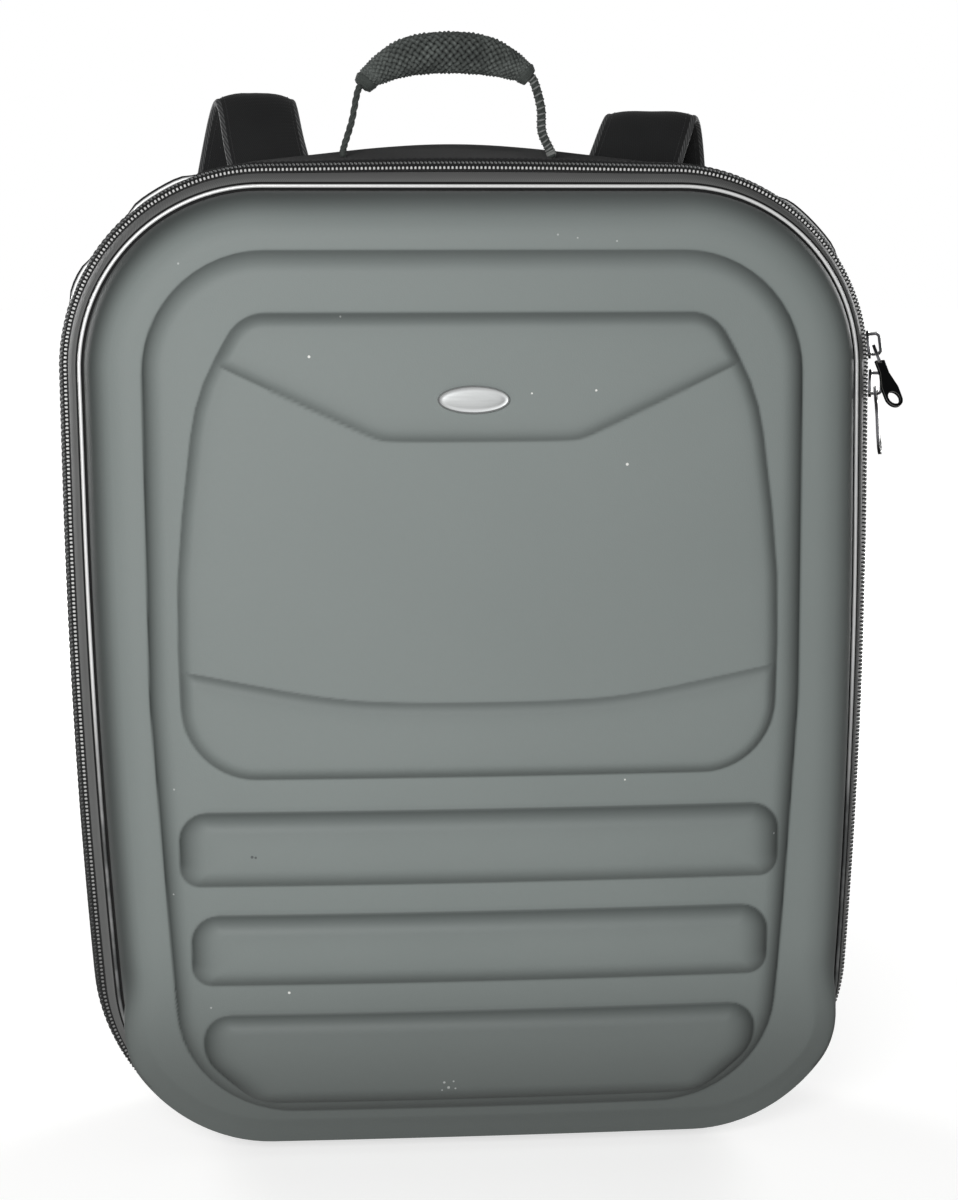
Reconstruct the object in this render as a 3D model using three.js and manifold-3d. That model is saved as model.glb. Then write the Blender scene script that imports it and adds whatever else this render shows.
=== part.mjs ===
// A hard-front camera backpack standing upright, in millimetres, +Z up, front facing -Y.
// Depths are counted back from the plane of the front piping, offsets outward from its centre line.
import * as THREE from 'three';
import { mergeVertices } from 'three/addons/utils/BufferGeometryUtils.js';
import Module from 'manifold-3d';

const wasm = await Module();
wasm.setup();

// Driving dimensions of the front piping line
const HALF_WIDTH = 189;
const TOP = 485;
const BOTTOM = 16.5;
const FRONT_TOP_RADIUS = 88;
const FRONT_BOTTOM_RADIUS = 84;
const WIDE_HEIGHT = 330;
const SIDE_DRAW = 0.08;

// The rear outline has tighter corners and an arched top
const REAR_DEPTH = 126;
const REAR_CORNER_RADIUS = 74;
const REAR_CROWN = 12;

// Number of straight steps along each stretch of an outline
const CORNER_STEPS = 6;
const SIDE_STEPS = 5;
const END_STEPS = 4;

// Front shell: a moulded foam dish with a rounded rim and a front that curves under at the bottom
const SHELL_WALL = 4;
const SHELL_EDGE_OFFSET = -2.2;
const SHELL_EDGE_DEPTH = 1.3;
const SHELL_FRONT = 30;
const RIM_INSET = 22;
const RIM_SHARES = [0, 0.04, 0.16, 0.36, 0.64, 1];
const CROWN_ACROSS = 6;
const CROWN_TOP = 3;
const CURL_START = 165;
const CURL_DEPTH = 22;
const CURL_POWER = 2.5;
const FIELD_SCALES = [0.84, 0.64, 0.3];

// Along the bottom the rim is rolled tightly and bulges over the piping, and this fades out up the corners
const FOOT_INSET = 7;
const FOOT_BULGE = 5.5;
const FOOT_START = 0.28;
const FOOT_FULL = 45;
const FOOT_END = 100;

// Raised forms on the shell: height above what carries each, and the width of its sloping wall
const FRAME_HEIGHT = 7;
const SHIELD_HEIGHT = 4.5;
const PANEL_HEIGHT = 2.5;
const BAR_HEIGHT = 6.5;
const FRAME_WALL = 9;
const SHIELD_WALL = 7.5;
const PANEL_WALL = 4.5;
const BAR_WALL = 8;
const SHOULDER = { inset: 0.4, height: 0.75 };
const SINK = 3;
const RAISED_FIELD = 0.5;
const RAISED_STEP = 45;
const TURN_STEP = 0.4;

// Right-hand corners of each raised form, from the bottom up
const FRAME_CORNERS = [
  { x: 150, z: 37, radius: 52 },
  { x: 158, z: 240, radius: 200 },
  { x: 158, z: 455, radius: 56 },
];
const SHIELD_CORNERS = [
  { x: 144.5, z: 204, radius: 36 },
  { x: 146.5, z: 300, radius: 90 },
  { x: 134.5, z: 388, radius: 60 },
  { x: 112, z: 426, radius: 20 },
];
const FLAP_CORNERS = [
  { x: 47, z: 366, radius: 3 },
  { x: 123, z: 402, radius: 2 },
  { x: 109, z: 422, radius: 16 },
];
const POCKET_CORNERS = [
  { x: 140, z: 208, radius: 32 },
  { x: 140, z: 256, radius: 2 },
  { x: 66, z: 241, radius: 60 },
];
const BARS = [
  { bottom: 151.5, top: 185, half: 146, lowerHalf: 146, radius: 15, lowerRadius: 15 },
  { bottom: 101.5, top: 134, half: 143.5, lowerHalf: 143.5, radius: 15, lowerRadius: 15 },
  { bottom: 41, top: 84, half: 139, lowerHalf: 112, radius: 15, lowerRadius: 20 },
];
const BAR_WAIST = 0.34;

// Badge on the flap
const BADGE_HALF_LENGTH = 17;
const BADGE_HALF_HEIGHT = 6.6;
const BADGE_THICKNESS = 1.6;
const BADGE_HEIGHT = 386;
const BADGE_SIDE = -3.5;

const SEAT_GAP = 0.3;

// Ring sections round the bag: rows of offset and depth, outer face first, then the inner face back
const PIPING_RADIUS = 1.4;
const REAR_PIPING = { offset: 10, depth: 126.4, radius: 1.6 };
const BAND_SECTION = [
  { offset: -5.5, depth: 1.7 },
  { offset: 1.0, depth: 1.7 },
  { offset: 3.6, depth: 4.4 },
  { offset: 6.2, depth: 10.8 },
  { offset: 4.6, depth: 11.4 },
  { offset: 2.1, depth: 5.2 },
  { offset: 0.3, depth: 3.3 },
  { offset: -5.5, depth: 3.3 },
];
const TAPE_FRONT_SECTION = [
  { offset: 6.1, depth: 11.3 },
  { offset: 7.3, depth: 14.5 },
  { offset: 6.2, depth: 14.9 },
  { offset: 5.0, depth: 11.7 },
];
const CHAIN_SECTION = [
  { offset: 8.3, depth: 14.5 },
  { offset: 9.2, depth: 15.9 },
  { offset: 10.3, depth: 19.0 },
  { offset: 10.2, depth: 20.4 },
  { offset: 7.6, depth: 20.6 },
  { offset: 6.3, depth: 15.4 },
];
const TAPE_REAR_SECTION = [
  { offset: 9.6, depth: 21.2 },
  { offset: 10.6, depth: 24.2 },
  { offset: 9.4, depth: 24.6 },
  { offset: 8.4, depth: 21.5 },
];
const GUSSET_SECTION = [
  { offset: 10.7, depth: 24.6 },
  { offset: 12, depth: 34 },
  { offset: 12, depth: 116 },
  { offset: 11.2, depth: 121.6 },
  { offset: 8.6, depth: 124.2 },
  { offset: 5.5, depth: 124.2 },
  { offset: 5.5, depth: 121.7 },
  { offset: 8.6, depth: 121.0 },
  { offset: 9.5, depth: 115 },
  { offset: 9.5, depth: 35 },
  { offset: 8.2, depth: 25.2 },
];

// Padded back panel, crowned toward the back
const PANEL_EDGE_OFFSET = 8;
const PANEL_FRONT = 124.5;
const PANEL_THICKNESS = 8;
const PANEL_CROWN = 3;
const PANEL_ROUND = { across: 5, deep: 4 };
const PANEL_FIELD = 0.6;

// Zip slider: plate over the chain and an arched bridge, in its own frame
// (X away from the tape, Y back across it, Z along the chain)
const ZIP_TILT = THREE.MathUtils.degToRad(19);
const CHAIN_MID = { offset: 8.3, depth: 17.5 };
const SLIDER = {
  seat: 2.1, plate: 1.4, halfWidth: 4.2, halfLength: 6.8, tailAcross: 1.4, tailAlong: 2, noseHalf: 1.8, noseFrom: 1,
  archInset: 1, bar: 1.5, gap: 4, shoulder: 1.6, sink: 0.6,
};
const UPPER_SLIDER_SHARE = 0.36;
const LOWER_SLIDER_HEIGHT = 389;

// Pull: a link round the bridge and a tab below it, with a wide end and a round hole.
// A pull's pose: lean toward the front, lift off the tape, and the tab's turn about its length, in degrees
const PULL = {
  length: 33, thickness: 1.6, linkHalf: 3.8, linkHole: 2.5, linkLength: 7.2, linkTaper: 2, linkWall: 1,
  neckHalf: 2.7, endHalf: 5, taperFrom: 14, taperTo: 22, holeRadius: 3.4, overlap: 0.4,
};
const BRIDGE_HALF = 0.8;
const PIVOT = { reach: SLIDER.seat + SLIDER.plate + SLIDER.gap / 2, drop: 2.5 };
const PULL_UPPER_POSE = { lean: 26, lift: 16, turn: -50 };
const PULL_LOWER_POSE = { lean: 0, lift: 5, turn: 0 };

// Top handle: a braided grip on two cord legs, leaning a little to the left
const HANDLE_DEPTH = 75;
const GRIP_STATIONS = [
  { x: -49, z: 535.5, radius: 6.4 },
  { x: -43, z: 541.5, radius: 7.2 },
  { x: -27, z: 549.5, radius: 10.0 },
  { x: -7, z: 552, radius: 10.8 },
  { x: 13, z: 550.5, radius: 10.2 },
  { x: 29, z: 544.5, radius: 7.6 },
  { x: 35, z: 540, radius: 6.0 },
];
const LEFT_FOOT = -59;
const RIGHT_FOOT = 47;
const LEG = { radius: 2.6, runOn: 3, bendShare: 0.62, bendHeight: 17, footRise: 4, seat: 0.5 };

// Shoulder straps as worn: distance of the centre line from the middle, width and thickness, from the top anchor down
const STRAP_STATIONS = {
  left: [
    { x: 84, depth: 139, z: 428, width: 46, thick: 8 },
    { x: 88, depth: 139.6, z: 464, width: 44, thick: 9 },
    { x: 97, depth: 151, z: 506, width: 42, thick: 11 },
    { x: 102, depth: 173, z: 530, width: 42, thick: 12 },
    { x: 107, depth: 196, z: 502, width: 48, thick: 12 },
    { x: 114, depth: 204, z: 432, width: 58, thick: 12 },
    { x: 119, depth: 199, z: 345, width: 58, thick: 12 },
    { x: 122, depth: 183, z: 262, width: 52, thick: 11 },
    { x: 126.4, depth: 165, z: 200.9, width: 42, thick: 7 },
  ],
  right: [
    { x: 82, depth: 139, z: 428, width: 50, thick: 8 },
    { x: 88, depth: 139.6, z: 463, width: 49, thick: 9 },
    { x: 101, depth: 151, z: 500, width: 48, thick: 11 },
    { x: 113, depth: 173, z: 521, width: 48, thick: 12 },
    { x: 120, depth: 195, z: 496, width: 52, thick: 12 },
    { x: 121, depth: 204, z: 430, width: 60, thick: 12 },
    { x: 120, depth: 199, z: 345, width: 58, thick: 12 },
    { x: 122, depth: 183, z: 262, width: 52, thick: 11 },
    { x: 126.4, depth: 165, z: 200.9, width: 42, thick: 7 },
  ],
};
const STRAP_STEPS = 24;

// Lower webbing, from the buckle to the lower corner of the back panel
const WEBBING_STATIONS = [
  { x: 130.5, depth: 154.7, z: 166.5, width: 25, thick: 2 },
  { x: 136, depth: 146, z: 125, width: 25, thick: 2 },
  { x: 143, depth: 138.6, z: 82, width: 25, thick: 2 },
  { x: 147, depth: 135.0, z: 58, width: 25, thick: 2 },
];
const WEBBING_STEPS = 8;
const SIDES = { left: -1, right: 1 };
const RIBBON_EDGE = 0.3;
const BUCKLE = { halfWidth: 19, halfLength: 17, thick: 4.4, slotHalf: 13.5, slot: 3.8, bar: 5.4, chamfer: 3 };

const MATERIALS = {
  shell: { color: 0x6b736f, roughness: 0.62, metalness: 0 },
  silver: { color: 0xd9dcdc, roughness: 0.35, metalness: 0.3 },
  fabric: { color: 0x17181a, roughness: 0.85, metalness: 0 },
  zip: { color: 0xc9cbcb, roughness: 0.45, metalness: 0.1 },
  metal: { color: 0x3a3c3e, roughness: 0.35, metalness: 0.9 },
  braid: { color: 0x2b2f2d, roughness: 0.8, metalness: 0 },
  plastic: { color: 0x111213, roughness: 0.5, metalness: 0 },
};

// Geometry helpers

// Closed surface through loops of equal length. Without ends the last loop joins the first.
function skin(loops, ends) {
  const count = loops[0].length;
  const points = loops.flat();
  const faces = [];
  const bands = ends ? loops.length - 1 : loops.length;
  for (let band = 0; band < bands; band += 1) {
    const low = band * count;
    const high = ((band + 1) % loops.length) * count;
    for (let i = 0; i < count; i += 1) {
      const next = (i + 1) % count;
      faces.push(low + i, low + next, high + next, low + i, high + next, high + i);
    }
  }
  if (ends) {
    const last = (loops.length - 1) * count;
    points.push(ends.start, ends.end);
    for (let i = 0; i < count; i += 1) {
      const next = (i + 1) % count;
      faces.push(points.length - 2, next, i);
      faces.push(points.length - 1, last + i, last + next);
    }
  }
  let volume = 0;
  for (let i = 0; i < faces.length; i += 3) {
    const [a, b, c] = [points[faces[i]], points[faces[i + 1]], points[faces[i + 2]]];
    volume += a.dot(b.clone().cross(c));
  }
  if (volume < 0) faces.reverse();
  const geometry = new THREE.BufferGeometry();
  geometry.setAttribute('position', new THREE.Float32BufferAttribute(points.flatMap((p) => p.toArray()), 3));
  geometry.setIndex(faces);
  return geometry;
}

function middle(loop) {
  const sum = new THREE.Vector3();
  loop.forEach((p) => sum.add(p));
  return sum.divideScalar(loop.length);
}

const capped = (loops) => skin(loops, { start: middle(loops[0]), end: middle(loops.at(-1)) });

function toSolid(geometry) {
  const bare = geometry.index ? geometry.clone() : geometry;
  bare.deleteAttribute('normal');
  bare.deleteAttribute('uv');
  const merged = mergeVertices(bare, 1e-4);
  return new wasm.Manifold(new wasm.Mesh({
    numProp: 3,
    vertProperties: new Float32Array(merged.attributes.position.array),
    triVerts: new Uint32Array(merged.index.array),
  }));
}

function toGeometry(solid) {
  const mesh = solid.getMesh();
  const geometry = new THREE.BufferGeometry();
  geometry.setAttribute('position', new THREE.BufferAttribute(mesh.vertProperties, 3));
  geometry.setIndex(new THREE.BufferAttribute(mesh.triVerts, 1));
  return geometry;
}

const bag = new THREE.Group();

function place(name, geometry, finish, parent = bag) {
  const mesh = new THREE.Mesh(geometry, new THREE.MeshStandardMaterial(MATERIALS[finish]));
  mesh.name = name;
  parent.add(mesh);
  return mesh;
}

// Outline round the bag

function arcPoints(x, z, radius, from, steps) {
  const points = [];
  for (let i = 0; i <= steps; i += 1) {
    const angle = THREE.MathUtils.degToRad(from + (90 * i) / steps);
    points.push(new THREE.Vector2(x + radius * Math.cos(angle), z + radius * Math.sin(angle)));
  }
  return points;
}

// Adds evenly spaced points on each straight stretch of at least `gap`
function fillStretches(loop, gap) {
  return loop.flatMap((p, i) => {
    const next = loop[(i + 1) % loop.length];
    const pieces = Math.max(1, Math.round(p.distanceTo(next) / gap));
    return Array.from({ length: pieces }, (_, k) => p.clone().lerp(next, k / pieces));
  });
}

// Sides draw in below the widest height
function drawIn(z) {
  const below = Math.max(0, (WIDE_HEIGHT - z) / WIDE_HEIGHT);
  return 1 - SIDE_DRAW * below * below;
}

// Points round the bag at an offset and a depth, from the right end of the bottom, anticlockwise
function outline(offset, depth) {
  const back = Math.max(0, depth) / REAR_DEPTH;
  const half = HALF_WIDTH + offset;
  const top = TOP + offset;
  const bottom = BOTTOM - offset;
  const upper = THREE.MathUtils.lerp(FRONT_TOP_RADIUS, REAR_CORNER_RADIUS, back) + offset;
  const lower = THREE.MathUtils.lerp(FRONT_BOTTOM_RADIUS, REAR_CORNER_RADIUS, back) + offset;
  const stretch = (from, to, steps) => (
    Array.from({ length: steps - 1 }, (_, k) => from.clone().lerp(to, (k + 1) / steps)));
  const corners = [
    arcPoints(half - lower, bottom + lower, lower, -90, CORNER_STEPS),
    arcPoints(half - upper, top - upper, upper, 0, CORNER_STEPS),
    arcPoints(upper - half, top - upper, upper, 90, CORNER_STEPS),
    arcPoints(lower - half, bottom + lower, lower, 180, CORNER_STEPS),
  ];
  const loop = corners.flatMap((corner, i) => {
    const next = corners[(i + 1) % 4][0];
    return [...corner, ...stretch(corner.at(-1), next, i % 2 ? END_STEPS : SIDE_STEPS)];
  });
  const rise = REAR_CROWN * back;
  const shoulder = TOP - FRONT_TOP_RADIUS;
  return loop.map(({ x, y }) => {
    const share = Math.max(0, (y - shoulder) / (top - shoulder));
    const crown = rise * share * share * (1 - (x / half) ** 2);
    return new THREE.Vector3(x * drawIn(y), depth, y + crown);
  });
}

const ring = (section) => skin(section.map(({ offset, depth }) => outline(offset, depth)));

function pipingSection(offset, depth, radius) {
  const sides = 6;
  return Array.from({ length: sides }, (_, i) => {
    const angle = (2 * Math.PI * (i + 0.5)) / sides;
    return { offset: offset + radius * Math.cos(angle), depth: depth + radius * Math.sin(angle) };
  });
}

// Front shell

// Depth of the plain shell front at a point of its face
function frontDepth(x, z) {
  const low = Math.max(0, (CURL_START - z) / (CURL_START - BOTTOM));
  const high = Math.max(0, (z - WIDE_HEIGHT) / (TOP - WIDE_HEIGHT));
  const across = CROWN_ACROSS * (x / HALF_WIDTH) ** 2;
  return -SHELL_FRONT + across + CROWN_TOP * high * high + CURL_DEPTH * low ** CURL_POWER;
}

// Plain dish form, moved inward by a wall; its open side ends at the given depth
function dish(wall, edgeDepth) {
  const edge = outline(SHELL_EDGE_OFFSET - wall, 0);
  const brim = outline(SHELL_EDGE_OFFSET - wall - RIM_INSET, 0);
  const rim = RIM_SHARES.map((share) => edge.map((p, i) => {
    const climb = Math.sqrt(1 - (1 - share) ** 2);
    const foot = 1 - THREE.MathUtils.smoothstep(p.z, FOOT_FULL, FOOT_END);
    const above = Math.max(0, climb - FOOT_START) / (1 - FOOT_START);
    const bulge = 4 * FOOT_BULGE * foot * above * (1 - above);
    const inset = share * THREE.MathUtils.lerp(RIM_INSET, FOOT_INSET, foot) - bulge;
    const q = p.clone().lerp(brim[i], inset / RIM_INSET);
    return q.setY((frontDepth(q.x, q.z) + wall) * climb);
  }));
  const heart = new THREE.Vector2(0, (TOP + BOTTOM) / 2);
  const field = FIELD_SCALES.map((scale) => rim.at(-1).map((p) => {
    const x = p.x * scale;
    const z = heart.y + (p.z - heart.y) * scale;
    return new THREE.Vector3(x, frontDepth(x, z) + wall, z);
  }));
  const open = edge.map((p) => p.clone().setY(edgeDepth));
  const nose = new THREE.Vector3(0, frontDepth(0, heart.y) + wall, heart.y);
  return toSolid(skin([open, ...rim, ...field], { start: middle(open), end: nose }));
}

// Mirrored outline with rounded corners, moved inward by an inset
function roundedLoop(rightCorners, inset) {
  const right = rightCorners.map(({ x, z, radius }) => ({ point: new THREE.Vector2(x, z), radius }));
  const left = right.map(({ point, radius }) => ({ point: new THREE.Vector2(-point.x, point.y), radius }));
  const corners = [...right, ...left.reverse()];
  const points = [];
  corners.forEach(({ point, radius }, i) => {
    const before = corners.at(i - 1).point.clone().sub(point).normalize();
    const after = corners[(i + 1) % corners.length].point.clone().sub(point).normalize();
    const half = Math.acos(THREE.MathUtils.clamp(before.dot(after), -1, 1)) / 2;
    const inward = before.clone().add(after).normalize();
    const turn = before.cross(after) < 0 ? 1 : -1;
    const vertex = point.clone().addScaledVector(inward, (turn * inset) / Math.sin(half));
    const bend = Math.max(1, radius - turn * inset);
    const centre = vertex.clone().addScaledVector(inward, bend / Math.sin(half));
    const sweep = Math.PI - 2 * half;
    const first = inward.clone().negate().angle() - (turn * sweep) / 2;
    const steps = Math.max(1, Math.round(sweep / TURN_STEP));
    for (let k = 0; k <= steps; k += 1) {
      const angle = first + (turn * sweep * k) / steps;
      points.push(new THREE.Vector2(centre.x + bend * Math.cos(angle), centre.y + bend * Math.sin(angle)));
    }
  });
  return points;
}

// Raised form with sloping walls and a rounded shoulder, following the shell's front
function raised(corners, { base, height, wall, back = 0 }) {
  const full = fillStretches(roundedLoop(corners, 0), RAISED_STEP);
  const shoulder = roundedLoop(corners, wall);
  const heart = new THREE.Vector2(0, 0);
  full.forEach((p) => heart.add(p));
  heart.divideScalar(full.length);
  const inner = fitTo(full, shoulder);
  const lift = (loop, level) => loop.map(({ x, y }) => (
    new THREE.Vector3(x, frontDepth(x, y) + back - base - level, y)));
  const between = full.map((p, i) => p.clone().lerp(inner[i], SHOULDER.inset));
  const ringAt = (scale) => inner.map((p) => heart.clone().lerp(p, scale));
  const loops = [
    lift(full, -SINK),
    lift(full, 0),
    lift(between, height * SHOULDER.height),
    lift(inner, height),
    lift(ringAt(RAISED_FIELD), height),
  ];
  const nose = lift([heart], height)[0];
  return toSolid(skin(loops, { start: lift([heart], -SINK)[0], end: nose }));
}

// For each point of one loop, the nearest point on the other
function fitTo(loop, target) {
  return loop.map((p) => {
    let best = target[0];
    target.forEach((from, i) => {
      const to = target[(i + 1) % target.length];
      const along = to.clone().sub(from);
      const share = THREE.MathUtils.clamp(p.clone().sub(from).dot(along) / along.lengthSq(), 0, 1);
      const near = from.clone().lerp(to, share);
      if (near.distanceTo(p) < best.distanceTo(p)) best = near;
    });
    return best.clone();
  });
}

// A bar's ends are upright, or slope in to a shorter bottom edge
function barCorners({ bottom, top, half, lowerHalf, radius, lowerRadius }) {
  const waist = { x: half, z: THREE.MathUtils.lerp(bottom, top, BAR_WAIST), radius: lowerRadius };
  const ends = [{ x: lowerHalf, z: bottom, radius: lowerRadius }, { x: half, z: top, radius }];
  return lowerHalf < half ? [ends[0], waist, ends[1]] : ends;
}

const SHIELD_BASE = FRAME_HEIGHT;
const PANEL_BASE = FRAME_HEIGHT + SHIELD_HEIGHT;

function frontShell() {
  let outer = dish(0, SHELL_EDGE_DEPTH);
  outer = outer.add(raised(FRAME_CORNERS, { base: 0, height: FRAME_HEIGHT, wall: FRAME_WALL }));
  outer = outer.add(raised(SHIELD_CORNERS, { base: SHIELD_BASE, height: SHIELD_HEIGHT, wall: SHIELD_WALL }));
  outer = outer.add(raised(FLAP_CORNERS, { base: PANEL_BASE, height: PANEL_HEIGHT, wall: PANEL_WALL }));
  outer = outer.add(raised(POCKET_CORNERS, { base: PANEL_BASE, height: PANEL_HEIGHT, wall: PANEL_WALL }));
  for (const bar of BARS) {
    outer = outer.add(raised(barCorners(bar), { base: FRAME_HEIGHT, height: BAR_HEIGHT, wall: BAR_WALL }));
  }
  const innerFrame = FRAME_CORNERS.map(({ x, z, radius }) => ({
    x: x - SHELL_WALL,
    z: z + (z < WIDE_HEIGHT ? SHELL_WALL : -SHELL_WALL),
    radius: radius - SHELL_WALL,
  }));
  const hollow = dish(SHELL_WALL, SHELL_EDGE_DEPTH + SHELL_WALL).add(
    raised(innerFrame, { base: 0, height: FRAME_HEIGHT, wall: FRAME_WALL, back: SHELL_WALL }));
  return toGeometry(outer.subtract(hollow));
}

place('front_shell', frontShell(), 'shell');

function badge() {
  const oval = new THREE.Shape().absellipse(0, 0, BADGE_HALF_LENGTH, BADGE_HALF_HEIGHT, 0, 2 * Math.PI);
  return new THREE.ExtrudeGeometry(oval, {
    depth: BADGE_THICKNESS, bevelEnabled: false, curveSegments: 10,
  });
}

const badgeSeat = frontDepth(BADGE_SIDE, BADGE_HEIGHT) - PANEL_BASE - PANEL_HEIGHT - SEAT_GAP;
const badgePlate = place('badge', badge(), 'silver');
badgePlate.rotation.x = Math.PI / 2;
badgePlate.position.set(BADGE_SIDE, badgeSeat, BADGE_HEIGHT);

// Rings round the bag

place('front_piping', ring(pipingSection(0, 0, PIPING_RADIUS)), 'silver');
place('front_band', ring(BAND_SECTION), 'fabric');
place('zip_tape_front', ring(TAPE_FRONT_SECTION), 'fabric');
place('zip_chain', ring(CHAIN_SECTION), 'zip');
place('zip_tape_rear', ring(TAPE_REAR_SECTION), 'fabric');
place('main_gusset', ring(GUSSET_SECTION), 'fabric');
place('rear_piping', ring(pipingSection(REAR_PIPING.offset, REAR_PIPING.depth, REAR_PIPING.radius)), 'silver');

// Back panel, crowned toward the back
function backPanel() {
  const rear = PANEL_FRONT + PANEL_THICKNESS;
  const edge = outline(PANEL_EDGE_OFFSET, REAR_DEPTH);
  const inward = outline(PANEL_EDGE_OFFSET - PANEL_ROUND.across, REAR_DEPTH);
  const heart = new THREE.Vector3(0, 0, (TOP + BOTTOM) / 2);
  const at = (loop, scale, depth) => loop.map((p) => (
    new THREE.Vector3(p.x * scale, depth, heart.z + (p.z - heart.z) * scale)));
  const loops = [
    at(inward, PANEL_FIELD, PANEL_FRONT),
    at(edge, 1, PANEL_FRONT),
    at(edge, 1, rear - PANEL_ROUND.deep),
    at(inward, 1, rear),
    at(inward, PANEL_FIELD, rear + PANEL_CROWN),
  ];
  return skin(loops, {
    start: heart.clone().setY(PANEL_FRONT),
    end: heart.clone().setY(rear + PANEL_CROWN),
  });
}

place('back_panel', backPanel(), 'fabric');

// Zip sliders and pulls

// Closed shape through rows of two coordinates
function shapeThrough(rows) {
  return new THREE.Shape(rows.map(([x, y]) => new THREE.Vector2(x, y)));
}

function sliderGeometry() {
  const { seat, plate, halfWidth, halfLength, tailAcross, tailAlong, noseHalf, noseFrom } = SLIDER;
  const foot = shapeThrough([
    [-halfWidth, -halfLength + tailAlong],
    [-halfWidth + tailAcross, -halfLength],
    [halfWidth - tailAcross, -halfLength],
    [halfWidth, -halfLength + tailAlong],
    [halfWidth, noseFrom],
    [noseHalf, halfLength],
    [-noseHalf, halfLength],
    [-halfWidth, noseFrom],
  ]);
  const base = new THREE.ExtrudeGeometry(foot, { depth: plate, bevelEnabled: false });
  base.applyMatrix4(new THREE.Matrix4().makeBasis(
    new THREE.Vector3(0, 1, 0), new THREE.Vector3(0, 0, 1), new THREE.Vector3(1, 0, 0)));
  base.translate(seat, 0, 0);
  const { archInset, bar, gap, shoulder, sink } = SLIDER;
  const reach = halfLength - archInset;
  const low = seat + plate - sink;
  const under = seat + plate + gap;
  const over = under + bar;
  const bend = shoulder / 2;
  const arch = shapeThrough([
    [-reach, low],
    [-reach, over - shoulder],
    [-reach + shoulder, over],
    [reach - shoulder, over],
    [reach, over - shoulder],
    [reach, low],
    [reach - bar, low],
    [reach - bar, under - bend],
    [reach - bar - bend, under],
    [-reach + bar + bend, under],
    [-reach + bar, under - bend],
    [-reach + bar, low],
  ]);
  const bridge = new THREE.ExtrudeGeometry(arch, { depth: 2 * BRIDGE_HALF, bevelEnabled: false });
  bridge.applyMatrix4(new THREE.Matrix4().makeBasis(
    new THREE.Vector3(0, 0, 1), new THREE.Vector3(1, 0, 0), new THREE.Vector3(0, 1, 0)));
  bridge.translate(0, -BRIDGE_HALF, 0);
  return toGeometry(toSolid(base).add(toSolid(bridge)));
}

// Flat plate from an outline across the tape (Y) and along the chain (Z), centred on its thickness
function platedOutline(shape, thickness) {
  const plate = new THREE.ExtrudeGeometry(shape, { depth: thickness, bevelEnabled: false, curveSegments: 7 });
  plate.applyMatrix4(new THREE.Matrix4().makeBasis(
    new THREE.Vector3(0, 1, 0), new THREE.Vector3(0, 0, 1), new THREE.Vector3(1, 0, 0)));
  plate.translate(-thickness / 2, 0, 0);
  return plate;
}

// The pull hangs down from its pivot at the origin, its face toward +X
function pullGeometry(turn) {
  const { length, thickness, linkHalf, linkHole, linkLength, linkTaper, linkWall } = PULL;
  const { neckHalf, endHalf, taperFrom, taperTo, holeRadius, overlap } = PULL;
  const bar = thickness / 2;
  const link = shapeThrough([
    [-linkHalf, bar],
    [-linkHalf, -linkLength + linkTaper],
    [-neckHalf, -linkLength - linkWall],
    [neckHalf, -linkLength - linkWall],
    [linkHalf, -linkLength + linkTaper],
    [linkHalf, bar],
  ]);
  link.holes.push(shapeThrough([
    [-linkHole, -bar],
    [linkHole, -bar],
    [linkHole, -linkLength + linkTaper],
    [neckHalf - linkWall, -linkLength + linkWall],
    [linkWall - neckHalf, -linkLength + linkWall],
    [-linkHole, -linkLength + linkTaper],
  ]));
  const tab = new THREE.Shape();
  tab.moveTo(-neckHalf, -linkLength + overlap);
  tab.lineTo(-neckHalf, -taperFrom);
  tab.lineTo(-endHalf, -taperTo);
  tab.absarc(0, -length + endHalf, endHalf, Math.PI, 2 * Math.PI, false);
  tab.lineTo(endHalf, -taperTo);
  tab.lineTo(neckHalf, -taperFrom);
  tab.lineTo(neckHalf, -linkLength + overlap);
  tab.holes.push(new THREE.Path().absarc(0, -length + endHalf, holeRadius, 0, 2 * Math.PI, true));
  const blade = platedOutline(tab, thickness).rotateZ(THREE.MathUtils.degToRad(turn));
  return toGeometry(toSolid(platedOutline(link, thickness)).add(toSolid(blade)));
}

// Frame of a slider on one straight step of the chain: X away from the tape, Z up along the chain
function sliderGroup(from, to, share) {
  const group = new THREE.Group();
  group.position.copy(from.clone().lerp(to, share));
  const along = to.clone().sub(from).normalize();
  const lean = Math.atan2(-along.x, along.z);
  group.rotation.set(0, -lean, -ZIP_TILT, 'YZX');
  bag.add(group);
  return group;
}

function pullOn(group, name, { lean, lift, turn }) {
  const pull = place(name, pullGeometry(turn), 'metal', group);
  pull.position.set(PIVOT.reach, 0, -PIVOT.drop);
  pull.rotation.set(THREE.MathUtils.degToRad(-lean), THREE.MathUtils.degToRad(-lift), 0);
}

const chainLine = outline(CHAIN_MID.offset, CHAIN_MID.depth);
const cornerFoot = CORNER_STEPS + SIDE_STEPS;
const [sideEnd, cornerFirst, cornerSecond] = chainLine.slice(cornerFoot - 1, cornerFoot + 2);
const upperSlider = sliderGroup(cornerFirst, cornerSecond, UPPER_SLIDER_SHARE);
place('slider_upper', sliderGeometry(), 'metal', upperSlider);
pullOn(upperSlider, 'pull_upper', PULL_UPPER_POSE);
const lowerShare = (LOWER_SLIDER_HEIGHT - sideEnd.z) / (cornerFirst.z - sideEnd.z);
const lowerSlider = sliderGroup(sideEnd, cornerFirst, lowerShare);
place('slider_lower', sliderGeometry(), 'metal', lowerSlider);
pullOn(lowerSlider, 'pull_lower', PULL_LOWER_POSE);

// Top handle

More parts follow.
